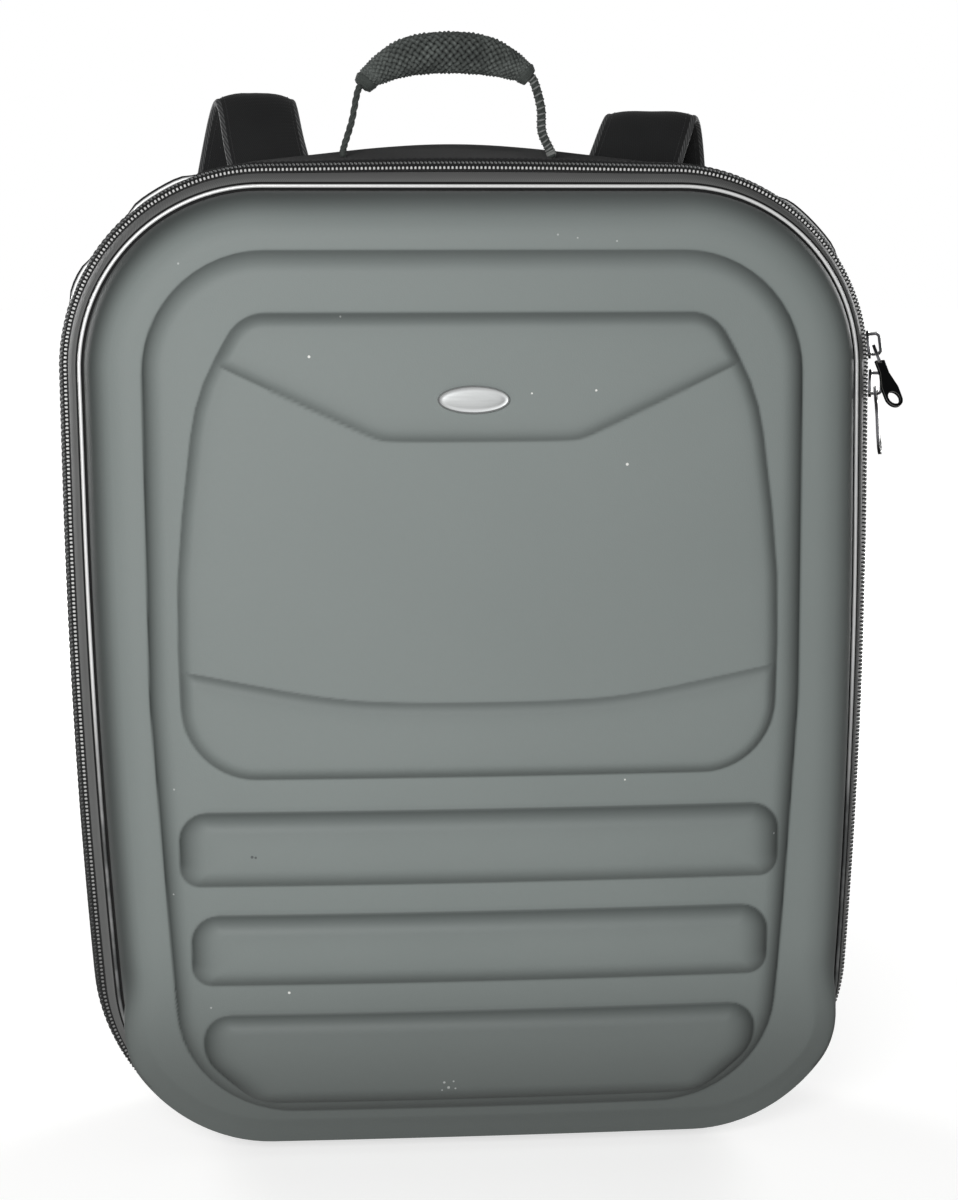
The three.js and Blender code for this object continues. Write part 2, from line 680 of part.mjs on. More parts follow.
function handleGrip() {
  const sides = 10;
  const loops = GRIP_STATIONS.map(({ x, z, radius }, i) => {
    const before = GRIP_STATIONS[Math.max(0, i - 1)];
    const after = GRIP_STATIONS[Math.min(GRIP_STATIONS.length - 1, i + 1)];
    const normal = new THREE.Vector3(before.z - after.z, 0, after.x - before.x).normalize();
    return Array.from({ length: sides }, (_, k) => {
      const angle = (2 * Math.PI * k) / sides;
      return new THREE.Vector3(x, HANDLE_DEPTH + radius * Math.cos(angle), z)
        .addScaledVector(normal, radius * Math.sin(angle));
    });
  });
  return capped(loops);
}

place('handle_grip', handleGrip(), 'braid');

// Height of the gusset's top at a distance from the middle, at the handle's depth
function gussetTop(x) {
  const loop = outline(GUSSET_SECTION[1].offset, HANDLE_DEPTH);
  const i = loop.findIndex((p, k) => p.x >= x && loop[(k + 1) % loop.length].x < x && p.z > WIDE_HEIGHT);
  const next = loop[i + 1];
  return THREE.MathUtils.mapLinear(x, loop[i].x, next.x, loop[i].z, next.z);
}

// A leg runs on from the grip's end and bends down to its foot on the gusset
function handleLeg(end, before, footX) {
  const onward = new THREE.Vector3(end.x - before.x, 0, end.z - before.z).normalize();
  const start = new THREE.Vector3(end.x, HANDLE_DEPTH, end.z);
  const foot = new THREE.Vector3(footX, HANDLE_DEPTH, gussetTop(footX) + LEG.seat);
  const bendX = THREE.MathUtils.lerp(end.x, footX, LEG.bendShare);
  const path = new THREE.CatmullRomCurve3([
    start.clone().addScaledVector(onward, SEAT_GAP),
    start.clone().addScaledVector(onward, LEG.runOn),
    new THREE.Vector3(bendX, HANDLE_DEPTH, foot.z + LEG.bendHeight),
    foot.clone().setZ(foot.z + LEG.footRise),
    foot,
  ]);
  const round = new THREE.Shape().absarc(0, 0, LEG.radius, 0, 2 * Math.PI);
  return new THREE.ExtrudeGeometry(round, { steps: 8, extrudePath: path, curveSegments: 4, bevelEnabled: false });
}

place('handle_leg_left', handleLeg(GRIP_STATIONS[0], GRIP_STATIONS[1], LEFT_FOOT), 'braid');
place('handle_leg_right', handleLeg(GRIP_STATIONS.at(-1), GRIP_STATIONS.at(-2), RIGHT_FOOT), 'braid');

// Shoulder straps, buckles and webbing

// Flat padded ribbon through a table of stations, with rounded edges, on one side of the bag
function ribbon(stations, steps, side) {
  const line = new THREE.CatmullRomCurve3(stations.map(({ x, depth, z }) => new THREE.Vector3(x, depth, z)));
  const column = (name, share) => {
    const place = share * (stations.length - 1);
    const i = Math.min(stations.length - 2, Math.floor(place));
    return THREE.MathUtils.lerp(stations[i][name], stations[i + 1][name], place - i);
  };
  const loops = Array.from({ length: steps + 1 }, (_, k) => {
    const share = k / steps;
    const centre = line.getPoint(share);
    const along = line.getTangent(share);
    const across = new THREE.Vector3(1, 0, 0).addScaledVector(along, -along.x).normalize();
    const out = along.clone().cross(across);
    const half = column('width', share) / 2;
    const thick = column('thick', share) / 2;
    const profile = [
      [-1, -RIBBON_EDGE], [-1, RIBBON_EDGE], [-1 + thick / half, 1], [0, 1],
      [1 - thick / half, 1], [1, RIBBON_EDGE], [1, -RIBBON_EDGE], [1 - thick / half, -1],
      [0, -1], [-1 + thick / half, -1],
    ];
    return profile.map(([wide, deep]) => {
      const p = centre.clone().addScaledVector(across, wide * half).addScaledVector(out, deep * thick);
      p.x *= side;
      return p;
    });
  });
  return capped(loops);
}

function buckle() {
  const { halfWidth, halfLength, thick, slotHalf, slot, bar, chamfer } = BUCKLE;
  const frame = shapeThrough([
    [-halfWidth + chamfer, -halfLength],
    [halfWidth - chamfer, -halfLength],
    [halfWidth, -halfLength + chamfer],
    [halfWidth, halfLength - chamfer],
    [halfWidth - chamfer, halfLength],
    [-halfWidth + chamfer, halfLength],
    [-halfWidth, halfLength - chamfer],
    [-halfWidth, -halfLength + chamfer],
  ]);
  for (const middleLine of [-(slot + bar) / 2, (slot + bar) / 2]) {
    frame.holes.push(shapeThrough([
      [-slotHalf, middleLine - slot / 2],
      [-slotHalf, middleLine + slot / 2],
      [slotHalf, middleLine + slot / 2],
      [slotHalf, middleLine - slot / 2],
    ]));
  }
  const plate = new THREE.ExtrudeGeometry(frame, { depth: thick, bevelEnabled: false });
  plate.translate(0, 0, -thick / 2);
  return plate;
}

const webbingStart = WEBBING_STATIONS[0];
for (const [label, side] of Object.entries(SIDES)) {
  const strapEnd = STRAP_STATIONS[label].at(-1);
  place(`shoulder_strap_${label}`, ribbon(STRAP_STATIONS[label], STRAP_STEPS, side), 'fabric');
  place(`strap_webbing_${label}`, ribbon(WEBBING_STATIONS, WEBBING_STEPS, side), 'fabric');
  const lower = new THREE.Vector3(side * webbingStart.x, webbingStart.depth, webbingStart.z);
  const upper = new THREE.Vector3(side * strapEnd.x, strapEnd.depth, strapEnd.z);
  const along = upper.clone().sub(lower).normalize();
  const across = new THREE.Vector3(1, 0, 0).addScaledVector(along, -along.x).normalize();
  const holder = place(`strap_buckle_${label}`, buckle(), 'plastic');
  holder.position.copy(upper.clone().add(lower).multiplyScalar(0.5));
  holder.quaternion.setFromRotationMatrix(
    new THREE.Matrix4().makeBasis(across, along, across.clone().cross(along)));
}

// The origin is the middle of the footprint, on the floor
const extent = new THREE.Box3().setFromObject(bag, true);
const centre = extent.getCenter(new THREE.Vector3());
bag.position.set(-centre.x, -centre.y, -extent.min.z);

export default bag;
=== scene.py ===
"""Looks of a hard-front camera backpack, in metres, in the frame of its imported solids.

Points of the bag are worked out from the plane of the front piping and the bag's middle plane.
"""
import math

import bmesh
import bpy
import numpy as np
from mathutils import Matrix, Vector, noise


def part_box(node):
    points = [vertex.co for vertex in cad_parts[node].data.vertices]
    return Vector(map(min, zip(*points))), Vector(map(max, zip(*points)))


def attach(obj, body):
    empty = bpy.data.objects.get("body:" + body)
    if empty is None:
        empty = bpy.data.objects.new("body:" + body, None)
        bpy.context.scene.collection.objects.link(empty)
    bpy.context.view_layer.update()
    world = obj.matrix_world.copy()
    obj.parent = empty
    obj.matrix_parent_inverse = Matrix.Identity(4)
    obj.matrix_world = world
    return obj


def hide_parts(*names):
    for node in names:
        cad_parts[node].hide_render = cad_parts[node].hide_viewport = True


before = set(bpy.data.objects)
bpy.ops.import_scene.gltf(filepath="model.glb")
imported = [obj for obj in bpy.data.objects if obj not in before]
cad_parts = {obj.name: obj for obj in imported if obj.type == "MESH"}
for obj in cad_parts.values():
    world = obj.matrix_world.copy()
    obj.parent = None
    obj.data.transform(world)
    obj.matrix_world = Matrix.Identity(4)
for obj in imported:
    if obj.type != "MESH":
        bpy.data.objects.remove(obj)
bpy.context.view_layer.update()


# Studio
# A plain pale floor and backdrop. One soft panel stands in front, a little above and to the left of the
# camera, so every edge that turns away goes dark. Three more behind the bag show its sides and its back.
MIDDLE = sum(corner.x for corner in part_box("front_shell")) / 2
SEAM = sum(corner.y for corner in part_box("front_piping")) / 2
PHOTO_WIDTH = 958
PHOTO_HEIGHT = 1200
FOCAL_PIXELS = 2694
SENSOR_WIDTH = 36
VIEW_AZIMUTH = math.radians(-5)
VIEW_ELEVATION = math.radians(9)
VIEW_DISTANCE = 1.3
AIM = Vector((MIDDLE - 0.0035, SEAM - 0.025, 0.2635))
AIM_PIXEL = (470, 642)
FLOOR_SIZE = 24
FLOOR_COLOUR = (0.55, 0.55, 0.54, 1)
FLOOR_GLOW = {"near": 0.66, "far": 1.0, "from": 0.4, "to": 2.6}
AMBIENT = 0.07
BACKDROP = 1.0


def table(columns, *rows):
    """Rows of values, each under the names of the columns."""
    return [dict(zip(columns.split(), row)) for row in rows]


LIGHTS = table(
    "name place size power",
    ("front_panel", (-0.40, -1.55, 0.64), 0.6, 19),
    ("rear_panel", (0.2, 2.2, 0.22), 0.8, 5),
    ("side_panel_left", (-1.25, 2.1, 0.6), 0.8, 38),
    ("side_panel_right", (1.25, 2.1, 0.6), 0.8, 38),
)


def add_node(tree, kind, values=(), **settings):
    """One shader node. Values give its inputs a number, a colour or another node's output."""
    made = tree.nodes.new("ShaderNode" + kind)
    for setting, value in settings.items():
        setattr(made, setting, value)
    for socket, value in dict(values).items():
        if isinstance(value, bpy.types.NodeSocket):
            tree.links.new(value, made.inputs[socket])
        else:
            made.inputs[socket].default_value = value
    return made


def math_node(tree, operation, first, second=0.0):
    return add_node(tree, "Math", {0: first, 1: second}, operation=operation).outputs[0]


def map_range(tree, value, start, stop, ends=(0.0, 1.0), **settings):
    """A value that runs from start to stop, spread between two ends."""
    values = {"Value": value, "From Min": start, "From Max": stop, "To Min": ends[0], "To Max": ends[1]}
    return add_node(tree, "MapRange", values, **settings).outputs["Result"]


def new_finish(name, constants):
    """Material with one Principled shader and its plain constants, with its tree and the shader."""
    finish = bpy.data.materials.new(name)
    finish.use_nodes = True
    shader = finish.node_tree.nodes["Principled BSDF"]
    for socket, value in constants.items():
        shader.inputs[socket].default_value = value
    return finish, finish.node_tree, shader


def facing(direction):
    """Turn of a camera or a lamp that looks along a direction."""
    return direction.to_track_quat("-Z", "Y").to_euler()


backward = Vector((
    math.sin(VIEW_AZIMUTH) * math.cos(VIEW_ELEVATION),
    -math.cos(VIEW_AZIMUTH) * math.cos(VIEW_ELEVATION),
    math.sin(VIEW_ELEVATION),
))
camera = bpy.data.objects.new("camera", bpy.data.cameras.new("camera"))
camera.location = AIM + VIEW_DISTANCE * backward
camera.rotation_euler = facing(-backward)
camera.data.sensor_fit = "HORIZONTAL"
camera.data.sensor_width = SENSOR_WIDTH
camera.data.lens = SENSOR_WIDTH * FOCAL_PIXELS / PHOTO_WIDTH
camera.data.shift_x = (PHOTO_WIDTH / 2 - AIM_PIXEL[0]) / PHOTO_WIDTH
camera.data.shift_y = (AIM_PIXEL[1] - PHOTO_HEIGHT / 2) / PHOTO_WIDTH
bpy.context.scene.collection.objects.link(camera)
bpy.context.scene.camera = camera
bpy.context.scene.view_settings.view_transform = "Standard"

world = bpy.data.worlds.new("studio")
bpy.context.scene.world = world
world.use_nodes = True
sky = world.node_tree
backdrop = sky.nodes["Background"]
backdrop.inputs["Color"].default_value = (1, 1, 1, 1)
seen = add_node(sky, "LightPath").outputs["Is Camera Ray"]
sky.links.new(map_range(sky, seen, 0, 1, (AMBIENT, BACKDROP)), backdrop.inputs["Strength"])

for row in LIGHTS:
    lamp = bpy.data.lights.new(row["name"], "AREA")
    lamp.size = row["size"]
    lamp.energy = row["power"]
    light = bpy.data.objects.new(row["name"], lamp)
    light.location = row["place"]
    light.rotation_euler = facing(AIM - light.location)
    light.visible_camera = False
    bpy.context.scene.collection.objects.link(light)

reach = FLOOR_SIZE / 2
floor_corners = [(-reach, -reach, 0), (reach, -reach, 0), (reach, reach, 0), (-reach, reach, 0)]
floor_mesh = bpy.data.meshes.new("floor")
floor_mesh.from_pydata(floor_corners, [], [(0, 1, 2, 3)])
floor = bpy.data.objects.new("floor", floor_mesh)
bpy.context.scene.collection.objects.link(floor)
floor_finish, floor_tree, floor_shader = new_finish("floor", {
    "Base Color": FLOOR_COLOUR, "Roughness": 0.9, "Emission Strength": 1.0})
floor_finish.cycles.emission_sampling = "NONE"
seen = add_node(floor_tree, "LightPath").outputs["Is Camera Ray"]
place = add_node(floor_tree, "TexCoord").outputs["Object"]
away = add_node(floor_tree, "VectorMath", {0: place}, operation="LENGTH").outputs["Value"]
glow_ends = (FLOOR_GLOW["near"], FLOOR_GLOW["far"])
glow = map_range(floor_tree, away, FLOOR_GLOW["from"], FLOOR_GLOW["to"], glow_ends)
floor_tree.links.new(math_node(floor_tree, "MULTIPLY", glow, seen), floor_shader.inputs["Emission Color"])
floor_mesh.materials.append(floor_finish)


# Front shell
# One moulded foam dish with a thin grey fabric skin. Its face carries a raised frame, a shield on the frame
# with a flap and a pocket line, and three bars below. It is hollow, and its edge is sewn to the piping.
HALF_WIDTH = 0.189
TOP = 0.485
BOTTOM = 0.0165
FRONT_TOP_RADIUS = 0.088
FRONT_BOTTOM_RADIUS = 0.074
WIDE_HEIGHT = 0.330
SIDE_DRAW = 0.08
LEAN = 0.006
LEAN_HEIGHT = 0.400
LEAN_DEPTH = 0.060
REAR_DEPTH = 0.126
REAR_TOP_RADIUS = 0.092
REAR_BOTTOM_RADIUS = 0.078
REAR_CROWN = 0.012
REAR_CROWN_POWER = 4
EVEN_STEPS = {"low": 36, "side": 76, "high": 36, "end": 52}
piping_low, piping_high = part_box("front_piping")
ORIGIN = np.array([MIDDLE, SEAM, piping_low.z + (piping_high.y - piping_low.y) / 2 - BOTTOM])
HEART = np.array([0, 0, (TOP + BOTTOM) / 2])
TINY = 1e-9

SHELL_WALL = 0.004
SHELL_EDGE_OFFSET = -0.0022
SHELL_EDGE_DEPTH = 0.0013
SHELL_FRONT = 0.030
SHELL_WELD = 2e-6
RIM_INSET = 0.022
RIM_STEPS = 11
HOLLOW_STEPS = 5
HOLLOW_SHARE = 0.5
CROWN_ACROSS = 0.006
CROWN_TOP = 0.003
CURL_START = 0.165
CURL_DEPTH = 0.022
CURL_POWER = 2.5
FOOT_INSET = 0.007
FOOT_BULGE = 0.0088
FOOT_START = 0.28
FOOT_FULL = 0.052
FOOT_END = 0.104

FRAME_HEIGHT = 0.007
SHIELD_HEIGHT = 0.0045
PANEL_HEIGHT = 0.0025
BAR_HEIGHT = 0.0065
FRAME_WALL = 0.0115
SHIELD_WALL = 0.0075
PANEL_WALL = 0.006
BAR_WALL = 0.0095
SHOULDER_POWER = 2.4
# Painted shade in the creases at the feet of the raised forms, on the rolled rim and in the seam
CREASE_REACH = 0.0034
CREASE_EDGE = 0.0004
CREASE_SHADES = {
    "frame": {"low": 0.35, "side": 0.95, "high": 0.46, "margin": 0.060},
    "shield": {"low": 0.25, "side": 0.55, "high": 0.45, "margin": 0.040},
    "bar": {"low": 0.25, "side": 0.85, "high": 0.66, "margin": 0.012},
}
PANEL_CREASE_SHADE = 0.45
RIM_SHADE = {"middle": 0.42, "sides": 0.32, "left": 0.16, "from": 0.0012, "to": 0.0135}
SEAM_SHADE = {"depth": 0.9, "from": 0.0004, "to": 0.0014}

FRAME_SIDE = -0.001
FORM_LEAN = 0.0025
CORNER_TURN = 0.12
# Right-hand corners of each raised form, from the bottom up
FRAME_CORNERS = table(
    "x z radius",
    (0.1445, 0.0305, 0.058),
    (0.1574, 0.240, 0.200),
    (0.1574, 0.455, 0.058),
)
SHIELD_CORNERS = table(
    "x z radius",
    (0.1426, 0.204, 0.036),
    (0.1448, 0.300, 0.420),
    (0.1336, 0.388, 0.100),
    (0.112, 0.426, 0.020),
)
BARS = table(
    "bottom top half lower_half radius lower_radius",
    (0.1515, 0.1878, 0.1455, 0.1455, 0.0135, 0.0095),
    (0.1015, 0.1370, 0.1407, 0.1407, 0.0135, 0.0095),
    (0.0375, 0.0860, 0.1358, 0.111, 0.0135, 0.020),
)
BAR_END = 0.62
BAR_WAIST = 0.50
FLAP_LINE = {"height": 0.366, "flat_half": 0.047, "slope": 0.474, "bend": 0.004}
POCKET_LINE = {"height": 0.2405, "flat_half": 0.064, "slope": 0.21, "bend": 0.024}
STEPS_ACROSS = {"fine": 0.0009, "wide": 0.0032}
STEPS_UP = {"fine": 0.0008, "wide": 0.0022}
FINE_BEFORE_BAR = 0.008
FINE_BEFORE_BRIM = 0.001
FINE_CORNER = 0.6
DENSE_STEPS = 600
ARC_STEP = math.radians(4)
ARC_REACH = math.radians(44)

SHELL_LIGHT = (0.240, 0.268, 0.260, 1)
SHELL_DARK = (0.214, 0.241, 0.233, 1)
SHELL_PAINTED_SHADE = (0.030, 0.036, 0.034, 1)
# Painted shade: the skin's colour darkens towards the bottom of the face, where it curls under
SHELL_LOW_SHADE = (0.150, 0.166, 0.160, 1)
SHELL_SHADE_FADE = {"high": ORIGIN[2] + 0.125, "low": ORIGIN[2] + 0.035}
MARK_COLOURS = {
    "speck": (0.80, 0.80, 0.77, 1),
    "scuff": (0.46, 0.48, 0.47, 1),
    "stain": (0.10, 0.11, 0.11, 1),
}
MARKS = table(
    "kind x z radius",
    ("speck", -0.0803, 0.4061, 0.00065),
    ("speck", 0.0241, 0.3886, 0.00045),
    ("speck", 0.0546, 0.3898, 0.00055),
    ("speck", 0.0700, 0.3546, 0.00070),
    ("scuff", 0.0379, 0.4622, 0.00045),
    ("scuff", 0.0473, 0.4607, 0.00040),
    ("scuff", 0.0661, 0.4592, 0.00045),
    ("scuff", -0.0654, 0.4245, 0.00045),
    ("scuff", -0.1405, 0.4489, 0.00050),
    ("speck", -0.0925, 0.0973, 0.00065),
    ("scuff", -0.1465, 0.1995, 0.00045),
    ("speck", 0.0709, 0.2010, 0.00045),
    ("scuff", 0.1448, 0.1727, 0.00045),
    ("scuff", -0.1477, 0.1472, 0.00040),
    ("scuff", -0.1305, 0.0900, 0.00045),
    ("scuff", -0.0168, 0.0495, 0.00060),
    ("scuff", -0.0122, 0.0500, 0.00045),
    ("scuff", -0.0146, 0.0466, 0.00070),
    ("scuff", -0.0178, 0.0452, 0.00040),
    ("scuff", -0.0112, 0.0460, 0.00045),
    ("stain", -0.1097, 0.1675, 0.00070),
    ("stain", -0.1080, 0.1672, 0.00060),
)


def ramp(value, start, stop):
    """Share of the way from start to stop, held at both ends."""
    return np.clip((value - start) / (stop - start), 0, 1)


def smooth_step(value, start, stop):
    """The same share, eased in and out."""
    share = ramp(value, start, stop)
    return share * share * (3 - 2 * share)


def unit(rows):
    """Directions brought to length one."""
    return rows / np.linalg.norm(rows, axis=-1, keepdims=True)


def even_spread():
    """Shares of the four kinds of stretch on an outline, at even steps."""
    shares = {kind: np.linspace(0, 1, steps + 1) for kind, steps in EVEN_STEPS.items()}
    return {kind: row if kind in ("low", "high") else row[1:-1] for kind, row in shares.items()}


def bag_outline(offset, depth, spread=even_spread()):
    """Closed loop round the bag, outward from the piping line by an offset and back from it by a depth.

    It runs up the right side from the foot of the lower corner, over the top, down the left side and along
    the bottom.
    """
    back = max(0.0, depth) / REAR_DEPTH
    half = HALF_WIDTH + offset
    top = TOP + offset
    bottom = BOTTOM - offset
    upper = FRONT_TOP_RADIUS + (REAR_TOP_RADIUS - FRONT_TOP_RADIUS) * back + offset
    lower = FRONT_BOTTOM_RADIUS + (REAR_BOTTOM_RADIUS - FRONT_BOTTOM_RADIUS) * back + offset
    low = math.pi / 2 * (spread["low"] - 1)
    high = math.pi / 2 * spread["high"]
    side = bottom + lower + (top - upper - bottom - lower) * spread["side"]
    right = np.concatenate([
        np.stack([half - lower + lower * np.cos(low), bottom + lower + lower * np.sin(low)], 1),
        np.stack([np.full_like(side, half), side], 1),
        np.stack([half - upper + upper * np.cos(high), top - upper + upper * np.sin(high)], 1),
    ])
    across = 2 * spread["end"] - 1
    x, z = np.concatenate([
        right,
        np.stack([(upper - half) * across, np.full_like(across, top)], 1),
        right[::-1] * (-1, 1),
        np.stack([(half - lower) * across, np.full_like(across, bottom)], 1),
    ]).T
    share = ramp(z, TOP - FRONT_TOP_RADIUS, top)
    middle = np.cos(math.pi / 2 * np.clip(x / half, -1, 1)) ** REAR_CROWN_POWER
    crown = REAR_CROWN * back * share ** 2 * middle
    lean = LEAN * ramp(z, LEAN_HEIGHT, 0) * ramp(depth, LEAN_DEPTH, 0)
    drawn = x * (1 - SIDE_DRAW * ramp(z, WIDE_HEIGHT, 0) ** 2)
    return np.stack([drawn + lean, np.full_like(x, depth), z + crown], 1)


def shade(mesh, sharp_degrees):
    """Shades a mesh smoothly, except along edges sharper than an angle."""
    mesh.shade_smooth()
    mesh.set_sharp_from_angle(angle=math.radians(sharp_degrees))
    return mesh


def new_mesh(name, points, faces):
    """Mesh of bag points, moved into the frame."""
    mesh = bpy.data.meshes.new(name)
    mesh.from_pydata((points + ORIGIN).tolist(), [], faces)
    return mesh


def loft(name, loops, joined=False, open_start=False):
    """Mesh through equal closed loops of bag points, with its own lengths as cloth coordinates.

    Joined, the last loop meets the first. Otherwise the ends are closed, or the last end alone.
    """
    loops = np.asarray(loops, float)
    rows, count = loops.shape[:2]
    along = np.cumsum(np.linalg.norm(np.roll(loops, -1, 1) - loops, axis=2).max(0))
    across = np.cumsum(np.linalg.norm(np.roll(loops, -1, 0) - loops, axis=2).mean(1))
    along, across = np.concatenate([[0], along]), np.concatenate([[0], across])
    row, column = np.meshgrid(np.arange(rows if joined else rows - 1), np.arange(count), indexing="ij")
    row, column = row.ravel(), column.ravel()
    quad_rows = np.stack([row, row, row + 1, row + 1], 1)
    quad_columns = np.stack([column, column + 1, column + 1, column], 1)
    quads = (quad_rows % rows) * count + quad_columns % count
    cloth = np.stack([along[quad_columns], across[quad_rows]], 2)
    points = loops.reshape(-1, 3)
    caps = np.zeros((0, 3), int)
    if not joined:
        here = np.arange(count)
        after = (here + 1) % count
        last = (rows - 1) * count
        centres = [loops[-1].mean(0)] if open_start else [loops[0].mean(0), loops[-1].mean(0)]
        start = len(points)
        end = start + len(centres) - 1
        caps = np.stack([np.full(count, end), last + here, last + after], 1)
        if not open_start:
            caps = np.concatenate([np.stack([np.full(count, start), after, here], 1), caps])
        points = np.concatenate([points, centres])
    a, b, c, d = (points[quads[:, k]] for k in range(4))
    if np.sum(a * np.cross(b, c)) + np.sum(a * np.cross(c, d)) < 0:
        quads, cloth, caps = quads[:, ::-1], cloth[:, ::-1], caps[:, ::-1]
    mesh = new_mesh(name, points, quads.tolist() + caps.tolist())
    lengths = np.concatenate([cloth.reshape(-1, 2), np.zeros((caps.size, 2))])
    mesh.uv_layers.new(name="cloth").data.foreach_set("uv", lengths.ravel().astype(np.float32))
    return shade(mesh, sharp_degrees=60)


def one_mesh(name, parts, weld=0.0):
    """One mesh out of several. With a weld, points closer than that are merged."""
    whole = bmesh.new()
    for part in parts:
        whole.from_mesh(part)
        bpy.data.meshes.remove(part)
    if weld:
        bmesh.ops.remove_doubles(whole, verts=whole.verts, dist=weld)
        bmesh.ops.recalc_face_normals(whole, faces=whole.faces)
    mesh = bpy.data.meshes.new(name)
    whole.to_mesh(mesh)
    whole.free()
    return mesh


def store_values(mesh, name, values):
    """Keeps a number for each point of a mesh, for its finish to read."""
    layer = mesh.attributes.new(name, "FLOAT", "POINT")
    layer.data.foreach_set("value", np.asarray(values, np.float32).ravel())


def add_piece(name, mesh, finishes, stands_for=(), body="bag"):
    """Puts a mesh in the scene with its finishes, riding on a body and standing for solids of the frame."""
    piece = bpy.data.objects.new(name, mesh)
    bpy.context.scene.collection.objects.link(piece)
    for finish in finishes:
        mesh.materials.append(finish)
    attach(piece, body)
    if stands_for:
        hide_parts(*stands_for)
    return piece


def rounded_loop(corners):
    """Points of a mirrored outline with rounded corners, in x and z."""
    right = [(np.array([row["x"], row["z"]]), row["radius"]) for row in corners]
    left = [(point * (-1, 1), radius) for point, radius in reversed(right)]
    corner_rows = right + left
    points = []
    for index, (point, radius) in enumerate(corner_rows):
        before = unit(corner_rows[index - 1][0] - point)
        after = unit(corner_rows[(index + 1) % len(corner_rows)][0] - point)
        half = math.acos(np.clip(before @ after, -1, 1)) / 2
        inward = unit(before + after)
        side = 1 if before[0] * after[1] - before[1] * after[0] < 0 else -1
        centre = point + inward * radius / math.sin(half)
        sweep = math.pi - 2 * half
        first = math.atan2(-inward[1], -inward[0]) - side * sweep / 2
        steps = max(2, round(sweep / CORNER_TURN))
        angles = first + side * sweep * np.arange(steps + 1) / steps
        points.append(centre + radius * np.stack([np.cos(angles), np.sin(angles)], 1))
    return np.concatenate(points)


def depth_inside(x, z, loop):
    """Distance of points from a closed outline, positive inside it."""
    nearest = np.full(x.shape, np.inf)
    inside = np.zeros(x.shape, bool)
    for (ax, az), (bx, bz) in zip(loop, np.roll(loop, -1, 0)):
        ex, ez = bx - ax, bz - az
        share = np.clip(((x - ax) * ex + (z - az) * ez) / (ex * ex + ez * ez + TINY ** 2), 0, 1)
        nearest = np.minimum(nearest, np.hypot(x - ax - share * ex, z - az - share * ez))
        crosses = (az > z) != (bz > z)
        inside ^= crosses & (x < ax + (z - az) * ex / (ez if abs(ez) > TINY else TINY))
    return np.where(inside, nearest, -nearest)


def line_height(x, line):
    """Height of a line that is flat in the middle and rises to both sides."""
    beyond = np.abs(x) - line["flat_half"]
    return line["height"] + line["slope"] * (beyond + np.hypot(beyond, line["bend"])) / 2


def shoulder(distance, wall):
    """Share of a raised form's height at a distance inside its foot: crisp at the foot, round above."""
    return 1 - (1 - ramp(distance, 0, wall)) ** SHOULDER_POWER


def bar_corners(bar):
    """A bar's ends are upright, or slope in to a shorter bottom edge."""
    waist_height = bar["bottom"] + BAR_WAIST * (bar["top"] - bar["bottom"])
    low, waist, high = table(
        "x z radius",
        (bar["lower_half"], bar["bottom"], bar["lower_radius"]),
        (bar["half"], waist_height, bar["lower_radius"]),
        (bar["half"], bar["top"], bar["radius"]),
    )
    return [low, waist, high] if bar["lower_half"] < bar["half"] else [low, high]


def crease_shade(foot):
    """Shade in the crease at the foot of a raised form: abrupt outside the foot, fading up its wall."""
    up_the_wall = np.exp(-np.maximum(foot, 0) / CREASE_REACH)
    outside = np.exp(np.minimum(foot, 0) / CREASE_EDGE)
    return np.where(foot > 0, up_the_wall, outside)


def form_crease(z, corners, levels, foot):
    """Shade of a form's crease, which differs along the form's lower edge, its sides and its upper edge."""
    low, high = corners[0]["z"], corners[-1]["z"]
    stops = [low, low + levels["margin"], high - levels["margin"], high]
    strength = np.interp(z, stops, [levels["low"], levels["side"], levels["side"], levels["high"]])
    return strength * crease_shade(foot)


def shell_relief(x, z):
    """Height of the raised forms over the plain face, and the shade in the creases at their feet."""
    x = x - FORM_LEAN * ramp(z, LEAN_HEIGHT, 0)
    frame_depth = depth_inside(x - FRAME_SIDE, z, rounded_loop(FRAME_CORNERS))
    shield_depth = depth_inside(x, z, rounded_loop(SHIELD_CORNERS))
    flap_depth = (z - line_height(x, FLAP_LINE)) / math.hypot(1, FLAP_LINE["slope"])
    pocket_depth = line_height(x, POCKET_LINE) - z
    panels = shoulder(flap_depth, PANEL_WALL) + shoulder(pocket_depth, PANEL_WALL)
    on_shield = shoulder(shield_depth, SHIELD_WALL)
    height = FRAME_HEIGHT * shoulder(frame_depth, FRAME_WALL)
    height += (SHIELD_HEIGHT + PANEL_HEIGHT * panels) * on_shield
    shades = [
        form_crease(z, FRAME_CORNERS, CREASE_SHADES["frame"], frame_depth),
        form_crease(z, SHIELD_CORNERS, CREASE_SHADES["shield"], shield_depth),
    ]
    shades += [PANEL_CREASE_SHADE * on_shield * crease_shade(foot) for foot in (flap_depth, pocket_depth)]
    for bar in BARS:
        corners = bar_corners(bar)
        bar_depth = depth_inside(x * BAR_END, z, rounded_loop(corners) * (BAR_END, 1))
        height += BAR_HEIGHT * shoulder(bar_depth, BAR_WALL)
        shades.append(form_crease(z, corners, CREASE_SHADES["bar"], bar_depth))
    return height, np.max(shades, axis=0)


def rim_shade(loop, inset):
    """Shade on the rolled rim: deepest in the seam and on the left side, none at the bottom."""
    side = loop[:, 0] / HALF_WIDTH
    depth = RIM_SHADE["middle"] + RIM_SHADE["sides"] * side ** 2 - RIM_SHADE["left"] * side
    roll = depth * (1 - smooth_step(inset, RIM_SHADE["from"], RIM_SHADE["to"]))
    seam = SEAM_SHADE["depth"] * (1 - smooth_step(inset, SEAM_SHADE["from"], SEAM_SHADE["to"]))
    return ramp(loop[:, 2], FOOT_FULL, FOOT_END) * np.maximum(roll, seam)


